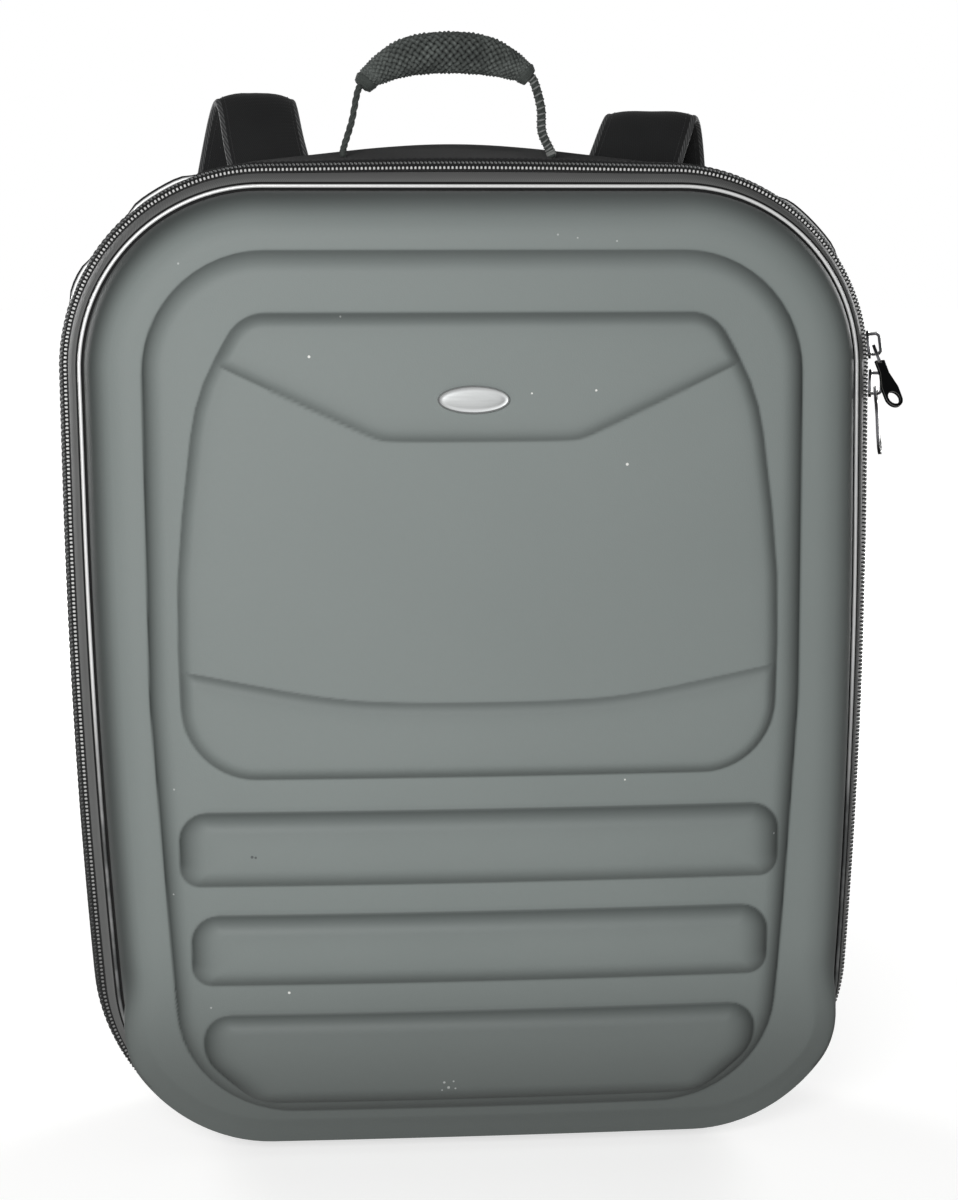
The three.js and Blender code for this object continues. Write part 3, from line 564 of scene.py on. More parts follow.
def front_depth(x, z):
    """Depth of the plain face, crowned across and curving under at the bottom."""
    low = np.maximum(0, (CURL_START - z) / (CURL_START - BOTTOM))
    high = np.maximum(0, (z - WIDE_HEIGHT) / (TOP - WIDE_HEIGHT))
    crown = CROWN_ACROSS * (x / HALF_WIDTH) ** 2 + CROWN_TOP * high ** 2
    return crown - SHELL_FRONT + CURL_DEPTH * low ** CURL_POWER


def spaced(start, stop, bands, steps):
    """Lines from start to stop, close together within the bands and wider apart elsewhere."""
    fine, wide = steps["fine"], steps["wide"]
    lines = [start]
    while lines[-1] < stop - wide:
        here = lines[-1]
        within = any(low <= here < high for low, high in bands)
        ahead = min([low - here for low, _ in bands if low > here], default=wide)
        lines.append(here + (fine if within else min(wide, max(ahead, fine))))
    return np.array(lines + [stop])


def fine_bands():
    """Stretches of height in which a raised form has its foot and its wall."""
    margin = STEPS_UP["fine"]
    shield_low, shield_high = SHIELD_CORNERS[0], SHIELD_CORNERS[-1]
    flap_top = line_height(SHIELD_CORNERS[-2]["x"], FLAP_LINE)
    pocket_top = line_height(shield_low["x"], POCKET_LINE)
    bands = [
        (FRAME_CORNERS[-1]["z"] - FRAME_WALL, FRAME_CORNERS[-1]["z"] + margin),
        (shield_low["z"] - margin, shield_low["z"] + FINE_CORNER * shield_low["radius"]),
        (FLAP_LINE["height"] - margin, flap_top),
        (shield_high["z"] - SHIELD_WALL, shield_high["z"] + margin),
        (POCKET_LINE["height"] - PANEL_WALL, pocket_top + margin),
    ]
    for bar in BARS:
        bands.append((bar["bottom"] - margin, bar["bottom"] + BAR_WALL))
        bands.append((bar["top"] - BAR_WALL, bar["top"] + margin))
    return bands


def rim_loop(wall, angle, spread):
    """Loop of the rolled rim: at angle 0 it stands on the shell's edge, at a right angle it meets the face.

    Along the bottom the roll is tight and bulges out over the piping.
    """
    edge = bag_outline(SHELL_EDGE_OFFSET - wall, 0, spread)
    brim = bag_outline(SHELL_EDGE_OFFSET - wall - RIM_INSET, 0, spread)
    climb = math.sin(angle)
    foot = smooth_step(edge[:, 2], FOOT_END, FOOT_FULL)
    above = max(0, climb - FOOT_START) / (1 - FOOT_START)
    bulge = FOOT_BULGE * foot * (4 * above * (1 - above)) ** 2
    inset = (1 - math.cos(angle)) * (RIM_INSET + (FOOT_INSET - RIM_INSET) * foot) - bulge
    loop = edge + (brim - edge) * (inset / RIM_INSET)[:, None]
    loop[:, 1] = (front_depth(loop[:, 0], loop[:, 2]) + wall) * climb
    return loop


def face_spread():
    """Lines across the face, as shares of its half width, and the outline points that they end on."""
    dense = np.linspace(0, 1, DENSE_STEPS)
    right_side = {"low": dense, "side": dense, "high": dense, "end": dense[:0]}
    brim = rim_loop(0, math.pi / 2, right_side)[:3 * DENSE_STEPS]
    stations = np.concatenate([dense, 1 + dense, 2 + dense])
    half = brim[:, 0].max()
    fine_sides = (BARS[-1]["lower_half"] - FINE_BEFORE_BAR, half - FINE_BEFORE_BRIM)
    right = spaced(0, half, [fine_sides], STEPS_ACROSS) / half
    across = np.concatenate([-right[:0:-1], right])
    heights = spaced(brim[0, 2], brim[-1, 2], fine_bands(), STEPS_UP)
    turn = np.arange(ARC_STEP, ARC_REACH, ARC_STEP) / (math.pi / 2)
    found = np.concatenate([np.interp(heights, brim[:, 2], stations), turn, 3 - turn, [0, 3]])
    found = np.unique(found.round(5))
    low = found[found <= 1]
    high = found[found >= 2] - 2
    side = found[(found > 1) & (found < 2)] - 1
    return across, {"low": low, "side": side, "high": high, "end": (across[1:-1] + 1) / 2}


def shell_face(name, across, spread):
    """Face on a grid that is fine along the raised forms."""
    brim = rim_loop(0, math.pi / 2, spread)
    rows = sum(len(spread[kind]) for kind in ("low", "side", "high"))
    right = brim[:rows, :1]
    left = brim[rows + len(spread["end"]):][rows - 1::-1, :1]
    x = (right + left) / 2 + (right - left) / 2 * across
    z = np.repeat(brim[:rows, 2:], len(across), 1)
    height, crease = shell_relief(x, z)
    grid = np.stack([x, front_depth(x, z) - height, z], 2).reshape(-1, 3)
    index = np.arange(len(grid)).reshape(x.shape)
    quads = np.stack([index[:-1, :-1], index[:-1, 1:], index[1:, 1:], index[1:, :-1]], 2).reshape(-1, 4)
    face = new_mesh(name, grid, quads.tolist())
    face.uv_layers.new(name="cloth")
    # The crease values are painted shade, mixed into the skin's colour
    store_values(face, "crease", crease)
    return face


def shrunk(loop, share):
    """Loop drawn in towards the middle of the bag."""
    return HEART + (loop - HEART) * share


def shell_rim(name, spread):
    """Rolled rim from the face to the shell's edge, and the hollow inside."""
    edge = bag_outline(SHELL_EDGE_OFFSET, 0, spread)
    inner_edge = bag_outline(SHELL_EDGE_OFFSET - SHELL_WALL, 0, spread)
    edge[:, 1] = inner_edge[:, 1] = SHELL_EDGE_DEPTH
    turns = math.pi / 2 * (1 - np.arange(RIM_STEPS + 1) / RIM_STEPS)
    inner_turns = math.pi / 2 * np.linspace(0, 1, HOLLOW_STEPS)
    rolled = [rim_loop(0, angle, spread) for angle in turns]
    hollow = [rim_loop(SHELL_WALL, angle, spread) for angle in inner_turns]
    deepest = shrunk(hollow[-1], HOLLOW_SHARE)
    deepest[:, 1] = front_depth(deepest[:, 0], deepest[:, 2]) + SHELL_WALL
    rim = loft(name, rolled + [edge, inner_edge] + hollow + [deepest], open_start=True)
    rolled_shades = [rim_shade(loop, RIM_INSET * (1 - math.cos(angle))) for loop, angle in zip(rolled, turns)]
    shades = np.zeros(len(rim.vertices))
    shades[:len(rolled) * len(edge)] = np.concatenate(rolled_shades)
    # Painted shade on the rolled rim and in the seam by the piping
    store_values(rim, "crease", shades)
    return rim


def new_group(name, inputs, outputs):
    """Empty shader node group with named numbers going in and out."""
    group = bpy.data.node_groups.new(name, "ShaderNodeTree")
    for socket, default in inputs.items():
        made = group.interface.new_socket(socket, in_out="INPUT", socket_type="NodeSocketFloat")
        made.default_value = default
    for socket in outputs:
        group.interface.new_socket(socket, in_out="OUTPUT", socket_type="NodeSocketFloat")
    return group, group.nodes.new("NodeGroupInput"), group.nodes.new("NodeGroupOutput")


# Slow patches and fine grain that break up an even colour
MOTTLE_NOISE = {"Patch": {"Detail": 3.0, "Roughness": 0.55}, "Grain": {"Detail": 2.0}}
mottle_group, mottle_in, mottle_out = new_group(
    "mottle", {"Patch Scale": 20.0, "Grain Scale": 900.0}, MOTTLE_NOISE)
mottle_place = add_node(mottle_group, "TexCoord").outputs["Object"]
for word, detail in MOTTLE_NOISE.items():
    scale = mottle_in.outputs[word + " Scale"]
    cloud = add_node(mottle_group, "TexNoise", {"Vector": mottle_place, "Scale": scale, **detail})
    mottle_group.links.new(cloud.outputs["Fac"], mottle_out.inputs[word])


def add_mottle(tree, patch, grain):
    """Patch and grain of a finish, each with its own scale."""
    values = {"Patch Scale": patch, "Grain Scale": grain}
    mottle = add_node(tree, "Group", values, node_tree=mottle_group)
    return mottle.outputs["Patch"], mottle.outputs["Grain"]


def mix_colour(tree, share, first, second):
    values = {"Factor": share, "A": first, "B": second}
    return add_node(tree, "Mix", values, data_type="RGBA").outputs["Result"]


def add_bump(tree, shader, height, distance):
    bump = add_node(tree, "Bump", {"Height": height, "Distance": distance, "Strength": 1.0})
    tree.links.new(bump.outputs["Normal"], shader.inputs["Normal"])


def vary_roughness(tree, shader, value, low, high):
    tree.links.new(map_range(tree, value, 0, 1, (low, high)), shader.inputs["Roughness"])


def low_share(tree, fade, **settings):
    """Share of a finish's lower tone: none above the fade's high end, all below its low end."""
    place = add_node(tree, "TexCoord").outputs["Object"]
    height = add_node(tree, "SeparateXYZ", {"Vector": place}).outputs["Z"]
    return map_range(tree, height, fade["high"], fade["low"], **settings)


def shell_finish():
    """Matte grey skin: slow patches, a few marks of use, and painted shade low down, in creases and on the
    rim.
    """
    finish, tree, shader = new_finish("moulded_shell", {"Specular IOR Level": 0.3, "Sheen Weight": 0.06})
    patch, grain = add_mottle(tree, patch=9.0, grain=1400.0)
    colour = mix_colour(tree, patch, SHELL_DARK, SHELL_LIGHT)
    # Painted shade towards the bottom of the face
    low = low_share(tree, SHELL_SHADE_FADE, interpolation_type="SMOOTHSTEP")
    colour = mix_colour(tree, low, colour, SHELL_LOW_SHADE)
    # Painted shade: the creases, the rolled rim and the seam darken the colour
    crease = add_node(tree, "Attribute", attribute_name="crease").outputs["Fac"]
    colour = mix_colour(tree, crease, colour, SHELL_PAINTED_SHADE)
    place = add_node(tree, "TexCoord").outputs["Object"]
    flat = add_node(tree, "VectorMath", {0: place, 1: (1, 0, 1)}, operation="MULTIPLY").outputs["Vector"]
    for mark in MARKS:
        centre = (ORIGIN[0] + mark["x"], 0, ORIGIN[2] + mark["z"])
        away = add_node(tree, "VectorMath", {0: flat, 1: centre}, operation="DISTANCE").outputs["Value"]
        spot = math_node(tree, "LESS_THAN", away, mark["radius"])
        colour = mix_colour(tree, spot, colour, MARK_COLOURS[mark["kind"]])
    tree.links.new(colour, shader.inputs["Base Color"])
    vary_roughness(tree, shader, patch, low=0.5, high=0.64)
    add_bump(tree, shader, grain, distance=0.00006)
    return finish


lines_across, shell_spread = face_spread()
shell_parts = [
    shell_face("front_shell_face", lines_across, shell_spread),
    shell_rim("front_shell_rim", shell_spread),
]
shell_mesh = shade(one_mesh("front_shell_skin", shell_parts, weld=SHELL_WELD), sharp_degrees=80)
add_piece("front_shell_skin", shell_mesh, [shell_finish()], ["front_shell"])


# Badge
# A small oval plate of satin silver metal, pressed from sheet with a rolled rim and fixed to the flap. Its
# sunk field is left blank.
BADGE_HALF_LENGTH = 0.017
BADGE_HALF_HEIGHT = 0.0066
BADGE_STEPS = 72
BADGE_SILVER = (0.44, 0.45, 0.45, 1)
BADGE_DRAWN = (60, 60, 1800)
badge_low, badge_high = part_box("badge")
badge_place = (np.array(badge_low) + np.array(badge_high)) / 2 - ORIGIN
badge_back = badge_high.y - ORIGIN[1]

# Rows from the seat up over the rim into the field: size share and height over the seat
BADGE_ROWS = table(
    "share height",
    (0.97, 0.0),
    (1.0, 0.0003),
    (1.0, 0.0010),
    (0.985, 0.0014),
    (0.955, 0.0016),
    (0.925, 0.0015),
    (0.90, 0.0011),
    (0.87, 0.0010),
    (0.60, 0.0012),
    (0.30, 0.0013),
)


def even_angles(sides):
    """Angles at even steps round a full circle."""
    return 2 * math.pi * np.arange(sides) / sides


def badge_loop(share, height):
    angle = even_angles(BADGE_STEPS)
    narrowing = BADGE_HALF_HEIGHT * (1 - share)
    x = badge_place[0] + (BADGE_HALF_LENGTH - narrowing) * np.cos(angle)
    z = badge_place[2] + (BADGE_HALF_HEIGHT - narrowing) * np.sin(angle)
    return np.stack([x, np.full(BADGE_STEPS, badge_back - height), z], 1)


def badge_finish():
    """Satin metal with fine drawn lines along the plate."""
    finish, tree, shader = new_finish("satin_silver", {"Metallic": 0.75, "Base Color": BADGE_SILVER})
    place = add_node(tree, "TexCoord").outputs["Object"]
    drawn = add_node(tree, "Mapping", {"Vector": place, "Scale": BADGE_DRAWN}).outputs["Vector"]
    lines = add_node(tree, "TexNoise", {"Vector": drawn, "Scale": 1.0, "Detail": 2.0}).outputs["Fac"]
    vary_roughness(tree, shader, lines, low=0.40, high=0.56)
    add_bump(tree, shader, lines, distance=0.00002)
    return finish


badge_mesh = loft("badge_plate", [badge_loop(**row) for row in BADGE_ROWS])
add_piece("badge_plate", badge_mesh, [badge_finish()], ["badge"])


# Front piping
# A round cord in silver film, sewn between the shell's edge and the lid band on a black flange. Low down on
# the bag it is greyer, in patches.
PIPING_RADIUS = 0.00088
PIPING_SIDES = 12
FLANGE_SECTION = [(-0.0030, 0.0010), (0.0015, 0.0010), (0.0019, 0.0016), (-0.0030, 0.0016)]
# The flange's black is partly painted shadow: it fills the narrow gaps beside the cord, where shadow falls
FLANGE_BLACK = (0.006, 0.006, 0.006, 1)
PIPING_SILVER = (0.93, 0.935, 0.93, 1)
PIPING_GREY = (0.11, 0.115, 0.115, 1)
PIPING_FADE = {"high": 0.25, "low": 0.17}
PIPING_GREY_BIAS = 0.42


def round_section(offset, depth, radius, sides):
    angles = even_angles(sides)
    return [(offset + radius * math.cos(angle), depth + radius * math.sin(angle)) for angle in angles]


def ring(section):
    """Loops round the bag through a closed section of (offset, depth) rows."""
    return [bag_outline(offset, depth) for offset, depth in section]


def add_ring(name, section, finish, stands_for=()):
    """Piece with a closed section that runs all round the bag."""
    add_piece(name, loft(name, ring(section), joined=True), [finish], stands_for)


def piping_finish():
    """Bright film that turns grey in patches low down."""
    finish, tree, shader = new_finish("silver_film", {
        "Roughness": 0.32, "Metallic": 0.15, "Specular IOR Level": 0.6})
    patch, grain = add_mottle(tree, patch=55.0, grain=900.0)
    patches = math_node(tree, "ADD", patch, PIPING_GREY_BIAS)
    greyed = math_node(tree, "MULTIPLY", low_share(tree, PIPING_FADE), patches)
    tree.links.new(mix_colour(tree, greyed, PIPING_SILVER, PIPING_GREY), shader.inputs["Base Color"])
    add_bump(tree, shader, grain, distance=0.00005)
    return finish


silver_film = piping_finish()
piping_section = round_section(0, 0, PIPING_RADIUS, PIPING_SIDES)
add_ring("front_piping_cord", piping_section, silver_film, ["front_piping"])
flange_finish = new_finish("piping_flange", {"Base Color": FLANGE_BLACK, "Roughness": 0.9})[0]
add_ring("front_piping_flange", FLANGE_SECTION, flange_finish)


# Lid band
# A narrow strip of coated black fabric with a diagonal rib, folded round the lid's edge from the piping to
# the zip.
BAND_SECTION = [
    (-0.0055, 0.0017), (0.0010, 0.0017), (0.0036, 0.0044), (0.0062, 0.0108),
    (0.0046, 0.0114), (0.0021, 0.0052), (0.0003, 0.0033), (-0.0055, 0.0033),
]
BAND_GAP = 0.0015
BAND_DARK = (0.138, 0.140, 0.139, 1)
BAND_LIGHT = (0.220, 0.222, 0.219, 1)
CORNER_CUTS = 2
CORNER_CUT = 0.2
RIB_SLANT = 0.4
CLOTH_FADE = 0.35
CLOTH_GRAIN = 0.5


def finer(section, gap):
    """Closed section with its corners cut off more than once and its long sides divided."""
    points = np.array(section, float)
    for _ in range(CORNER_CUTS):
        step = CORNER_CUT * (np.roll(points, -1, 0) - points)
        points = np.stack([points + step, np.roll(points, -1, 0) - step], 1).reshape(-1, 2)
    rows = []
    for point, following in zip(points, np.roll(points, -1, 0)):
        pieces = max(1, round(np.linalg.norm(following - point) / gap))
        rows += [tuple(point + (following - point) * k / pieces) for k in range(pieces)]
    return rows


# Threads of a woven cloth along its own length and width, plain or in a slanted rib
weave_group, weave_in, weave_out = new_group("weave", {"Threads": 900.0, "Slant": 0.0}, ["Height"])
cloth_place = add_node(weave_group, "UVMap", uv_map="cloth").outputs["UV"]
cloth_axes = add_node(weave_group, "SeparateXYZ", {"Vector": cloth_place}).outputs
half_turns = math_node(weave_group, "MULTIPLY", weave_in.outputs["Threads"], math.pi)
lengthwise = math_node(weave_group, "MULTIPLY", cloth_axes["X"], half_turns)
crosswise = math_node(weave_group, "MULTIPLY", cloth_axes["Y"], half_turns)
warp = math_node(weave_group, "SINE", lengthwise)
weft = math_node(weave_group, "SINE", crosswise)
plain = math_node(weave_group, "MULTIPLY", warp, weft)
slanted = math_node(weave_group, "ADD", lengthwise, math_node(weave_group, "MULTIPLY", crosswise, RIB_SLANT))
ribbed = math_node(weave_group, "SINE", slanted)
weave_kinds = {"Factor": weave_in.outputs["Slant"], "A": plain, "B": ribbed}
woven = add_node(weave_group, "Mix", weave_kinds, data_type="FLOAT").outputs["Result"]
weave_group.links.new(map_range(weave_group, woven, -1, 1), weave_out.inputs["Height"])


def cloth_finish(name, dark, light, threads, slant=0.0, relief=0.0002, rough=0.85, sheen=0.15):
    """Woven cloth: light on the threads' crowns, dark between them, with slow patches of fading."""
    finish, tree, shader = new_finish(name, {
        "Roughness": rough, "Sheen Weight": sheen, "Sheen Roughness": 0.5, "Specular IOR Level": 0.25})
    values = {"Threads": threads, "Slant": slant}
    weave = add_node(tree, "Group", values, node_tree=weave_group).outputs["Height"]
    patch, grain = add_mottle(tree, patch=30.0, grain=700.0)
    share = math_node(tree, "MULTIPLY", weave, math_node(tree, "ADD", patch, CLOTH_FADE))
    tree.links.new(mix_colour(tree, share, dark, light), shader.inputs["Base Color"])
    height = math_node(tree, "ADD", weave, math_node(tree, "MULTIPLY", grain, CLOTH_GRAIN))
    add_bump(tree, shader, height, relief)
    return finish


band_finish = cloth_finish(
    "ribbed_band", BAND_DARK, BAND_LIGHT, threads=2000.0, slant=1.0, relief=0.00006, rough=0.6, sheen=0.03)
add_ring("lid_band", finer(BAND_SECTION, BAND_GAP), band_finish, ["front_band"])


# Zip tapes
# Two woven tapes, one sewn to the lid band and one to the body, with the row of teeth between them.
TAPE_SECTIONS = {
    "front": [(0.0060, 0.0113), (0.0065, 0.0145), (0.0054, 0.0149), (0.0049, 0.0117)],
    "rear": [(0.0096, 0.0212), (0.0106, 0.0242), (0.0094, 0.0246), (0.0084, 0.0215)],
}
TAPE_GAP = 0.001
TAPE_DARK = (0.012, 0.012, 0.012, 1)
TAPE_LIGHT = (0.030, 0.031, 0.031, 1)
tape_finish = cloth_finish(
    "woven_tape", TAPE_DARK, TAPE_LIGHT, threads=1600.0, slant=1.0, relief=0.0001, sheen=0.03)
for word, section in TAPE_SECTIONS.items():
    add_ring("tape_" + word, finer(section, TAPE_GAP), tape_finish, ["zip_tape_" + word])


# Zip teeth
# A closed coil zip: a black woven core carries two rows of silver teeth. The front row stands square to the
# lid, and the rear row, which faces more to the side, leans along the zip.
CORE_SECTION = [
    (0.0068, 0.0146), (0.0076, 0.0160), (0.0094, 0.0190),
    (0.0097, 0.0204), (0.0076, 0.0206), (0.0056, 0.0154),
]
CORE_GAP = 0.0015
TOOTH_PITCH = 0.0020
TOOTH_ROWS = table(
    "name offset depth lean length width rise colour",
    ("teeth_front", 0.0074, 0.0152, 0.0, 0.00115, 0.0012, 0.0008, (0.90, 0.90, 0.89, 1)),
    # The rear row's dark grey is painted shade on the same silver coating as the front row
    ("teeth_rear", 0.0096, 0.0192, 0.55, 0.0008, 0.0019, 0.0006, (0.22, 0.225, 0.225, 1)),
)
# A tooth from its seat to its crown, as shares of its length and width and of its rise
TOOTH_LEVELS = table("share height", (1.0, -0.4), (1.0, 0.45), (0.72, 1.0))
TOOTH_SIDES = 8
TOOTH_ROUND = 0.5
# Painted shade: the teeth grey towards the bottom of the bag
TEETH_SHADE_FADE = {"high": 0.24, "low": 0.09}
TEETH_WORN = 0.62
TEETH_LOW_SHADE = 0.25
ZIP_SLOPE = math.radians(19)
REARWARDS = np.array([0.0, 1.0, 0.0])


def between(stops, lengths, points):
    """Points of a path at stops along its lengths."""
    return np.stack([np.interp(stops, lengths, points[:, k]) for k in range(3)], 1)


def even_places(loop, pitch):
    """Points at an even pitch along a closed loop, with the direction of travel at each."""
    closed = np.concatenate([loop, loop[:1]])
    lengths = np.concatenate([[0], np.cumsum(np.linalg.norm(np.diff(closed, axis=0), axis=1))])
    count = round(lengths[-1] / pitch)
    stops = lengths[-1] * np.arange(count) / count
    places = between(stops, lengths, closed)
    ahead = between((stops + pitch / 2) % lengths[-1], lengths, closed)
    return places, unit(ahead - places)


def outward(places, travel):
    """Directions out of the bag at points on a loop, square to its travel and to the bag's depth."""
    sideways = np.cross(travel, REARWARDS)
    return unit(sideways * np.sign(np.sum(sideways * (places - HEART), axis=1))[:, None])


def stacked(rings):
    """Points and faces of a small form through equal rings, closed at both ends."""
    sides = len(rings[0])
    last = sides * (len(rings) - 1)
    faces = [list(range(last, last + sides)), list(range(sides))[::-1]]
    for low in range(0, last, sides):
        for k in range(sides):
            after = (k + 1) % sides
            faces.append([low + k, low + after, low + sides + after, low + sides + k])
    return np.concatenate(rings), faces


def repeat_form(name, form, faces, places, axes):
    """One mesh of copies of a small form: axes holds the three directions of each copy."""
    points = places[:, None, :] + sum(form[None, :, k, None] * axes[k][:, None, :] for k in range(3))
    starts = range(0, len(form) * len(places), len(form))
    copies = [[corner + start for corner in face] for start in starts for face in faces]
    return shade(new_mesh(name, points.reshape(-1, 3), copies), sharp_degrees=50)


def signed_power(values, power):
    return np.sign(values) * np.abs(values) ** power


def tooth_form(row):
    """Rounded block on a square seat: directions are along the zip, across it and out of it."""
    angles = even_angles(TOOTH_SIDES) + math.pi / TOOTH_SIDES
    square = signed_power(np.stack([np.cos(angles), np.sin(angles)], 1), TOOTH_ROUND)
    rings = []
    for level in TOOTH_LEVELS:
        seat = square * level["share"] * (row["length"] / 2, row["width"] / 2)
        rings.append(np.column_stack([seat, np.full(TOOTH_SIDES, level["height"] * row["rise"])]))
    return stacked(rings)


def toned(colour, share):
    """A lighter or darker tone of a colour."""
    return tuple(min(1, share * channel) for channel in colour[:3]) + (1,)


def tooth_finish(name, colour):
    """Silver coating with patches of wear, and painted shade that greys it low down on the bag."""
    finish, tree, shader = new_finish(name, {"Metallic": 0.1, "Roughness": 0.5, "Specular IOR Level": 0.4})
    patch, _ = add_mottle(tree, patch=160.0, grain=2500.0)
    silver = mix_colour(tree, patch, toned(colour, TEETH_WORN), colour)
    low_shaded = mix_colour(tree, low_share(tree, TEETH_SHADE_FADE), silver, toned(colour, TEETH_LOW_SHADE))
    tree.links.new(low_shaded, shader.inputs["Base Color"])
    return finish


add_ring("zip_core", finer(CORE_SECTION, CORE_GAP), tape_finish, ["zip_chain"])
for row in TOOTH_ROWS:
    places, travel = even_places(bag_outline(row["offset"], row["depth"]), TOOTH_PITCH)
    sideways = outward(places, travel)
    out = math.cos(ZIP_SLOPE) * sideways - math.sin(ZIP_SLOPE) * REARWARDS
    across = math.cos(ZIP_SLOPE) * REARWARDS + math.sin(ZIP_SLOPE) * sideways
    leaning = unit(across + row["lean"] * travel)
    tooth_mesh = repeat_form(row["name"], *tooth_form(row), places, [travel, leaning, out])
    add_piece(row["name"], tooth_mesh, [tooth_finish(row["name"], row["colour"])])


# Sliders and pulls
# Two cast sliders in black nickel stand on the right side of the zip, each with a link and a flat tab that
# swing on its bridge. Their bevelled edges carry a painted highlight in a lighter metal.
NICKEL = (0.020, 0.020, 0.022, 1)
# Painted highlight: a lighter metal on the bevelled edges
EDGE_HIGHLIGHT = (0.45, 0.445, 0.43, 1)
NICKEL_GLEAM = 1.6
ROUGH_SPREAD = 0.15
METAL_BEVEL = 0.00016
SOLID_WELD = 1e-6
FLAT_ANGLE = math.radians(1)
BEVEL_ANGLE = math.radians(28)


def softened_copy(node, name, bevel, edge_finish=-1):
    """Copy of a solid with its flats merged and its edges rounded over."""
    form = bmesh.new()
    form.from_mesh(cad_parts[node].data)
    bmesh.ops.remove_doubles(form, verts=form.verts, dist=SOLID_WELD)
    bmesh.ops.dissolve_limit(form, angle_limit=FLAT_ANGLE, verts=form.verts, edges=form.edges)
    sharp = [edge for edge in form.edges if edge.is_manifold and edge.calc_face_angle() > BEVEL_ANGLE]
    bmesh.ops.bevel(form, geom=sharp, offset=bevel, segments=2, profile=0.6, affect="EDGES",
                    clamp_overlap=True, material=edge_finish)
    mesh = bpy.data.meshes.new(name)
    form.to_mesh(mesh)
    form.free()
    return shade(mesh, sharp_degrees=35)


def metal_finish(name, colour, rough):
    """Cast metal with a patchy gleam."""
    finish, tree, shader = new_finish(name, {"Metallic": 0.9})
    patch, grain = add_mottle(tree, patch=260.0, grain=3000.0)
    gleam = mix_colour(tree, patch, colour, toned(colour, NICKEL_GLEAM))
    tree.links.new(gleam, shader.inputs["Base Color"])
    vary_roughness(tree, shader, grain, rough, rough + ROUGH_SPREAD)
    add_bump(tree, shader, grain, distance=0.00002)
    return finish


black_nickel = metal_finish("black_nickel", NICKEL, rough=0.28)
painted_edge_highlight = metal_finish("painted_edge_highlight", EDGE_HIGHLIGHT, rough=0.22)
for word in ("upper", "lower"):
    for part, body in [("slider", "bag"), ("pull", "pull_" + word)]:
        node = part + "_" + word
        metal_mesh = softened_copy(node, node + "_cast", METAL_BEVEL, edge_finish=1)
        add_piece(node + "_cast", metal_mesh, [black_nickel, painted_edge_highlight], [node], body)


# Main gusset
# The deep wall of the body: black woven polyester with a soft backing, sewn to the zip tape in front and
# turned in at the rear seam. It is a little slack between the seams, and the bag stands on it.
GUSSET_SECTION = [
    (0.0107, 0.0246), (0.0120, 0.0340), (0.0120, 0.1160), (0.0112, 0.1216),
    (0.0086, 0.1242), (0.0055, 0.1242), (0.0055, 0.1217), (0.0086, 0.1210),
    (0.0095, 0.1150), (0.0095, 0.0350), (0.0082, 0.0252),
]
GUSSET_GAP = 0.004
GUSSET_DARK = (0.010, 0.0105, 0.011, 1)
GUSSET_LIGHT = (0.034, 0.035, 0.036, 1)
CORNER_RISE = {"from": 0.36, "to": 0.42}
CORNER_REACH = {"from": 0.09, "to": 0.14}
SLACK = 0.0028
CORNER_SLACK = 0.0030
SLACK_SEED = 4.3
SLACK_OFFSET = 0.0105
SLACK_DEPTHS = [0.027, 0.045, 0.105, 0.120]
SLACK_SHARES = [0, 1, 1, 0]
BROAD_FOLDS = {"scale": (9, 16, 9), "share": 1.0}
SMALL_FOLDS = {"scale": (30, 24, 30), "share": 0.5}
INWARD_STEP = 0.001


def corner_share(loop):
    """How far a point belongs to one of the two upper corners of the bag."""
    risen = ramp(loop[:, 2], CORNER_RISE["from"], CORNER_RISE["to"])
    return risen * ramp(np.abs(loop[:, 0]), CORNER_REACH["from"], CORNER_REACH["to"])


def fold_height(x, depth, z):
    """Height of the cloth's folds: broad ones, with smaller ones on them."""
    broad = Vector((x, depth, z)) * Vector(BROAD_FOLDS["scale"]) + Vector((SLACK_SEED, 0, 0))
    small = Vector((x, depth, z)) * Vector(SMALL_FOLDS["scale"]) + Vector((0, SLACK_SEED, 0))
    return BROAD_FOLDS["share"] * noise.noise(broad) + SMALL_FOLDS["share"] * noise.noise(small)


def slackened(loops, section):
    """Moves the free part of the outer face inward in slow folds."""
    for (offset, depth), loop in zip(section, loops):
        free = np.interp(depth, SLACK_DEPTHS, SLACK_SHARES)
        if offset < SLACK_OFFSET or free == 0:
            continue
        inward = unit(bag_outline(offset - INWARD_STEP, depth) - bag_outline(offset, depth))
        folds = np.array([fold_height(x, depth, z) for x, _, z in loop])
        drawn_in = SLACK * ramp(folds, -1, 1) + CORNER_SLACK * corner_share(loop)
        loop += inward * (free * drawn_in)[:, None]
    return loops


gusset_section = finer(GUSSET_SECTION, GUSSET_GAP)
gusset_finish = cloth_finish(
    "body_cloth", GUSSET_DARK, GUSSET_LIGHT, threads=1500.0, relief=0.00012, sheen=0.04)
gusset_loops = slackened(ring(gusset_section), gusset_section)
gusset_mesh = loft("body_wall", gusset_loops, joined=True)
add_piece("body_wall", gusset_mesh, [gusset_finish], ["main_gusset"])


# Stitching of the body
# A lockstitch in black thread along the front and the rear seam of the gusset, which holds its cloth to the
# zip tape and to the rear piping.
STITCH_PITCH = 0.0034
STITCH_LENGTH = 0.0025
STITCH_RADIUS = 0.00018
STITCH_SIDES = 6
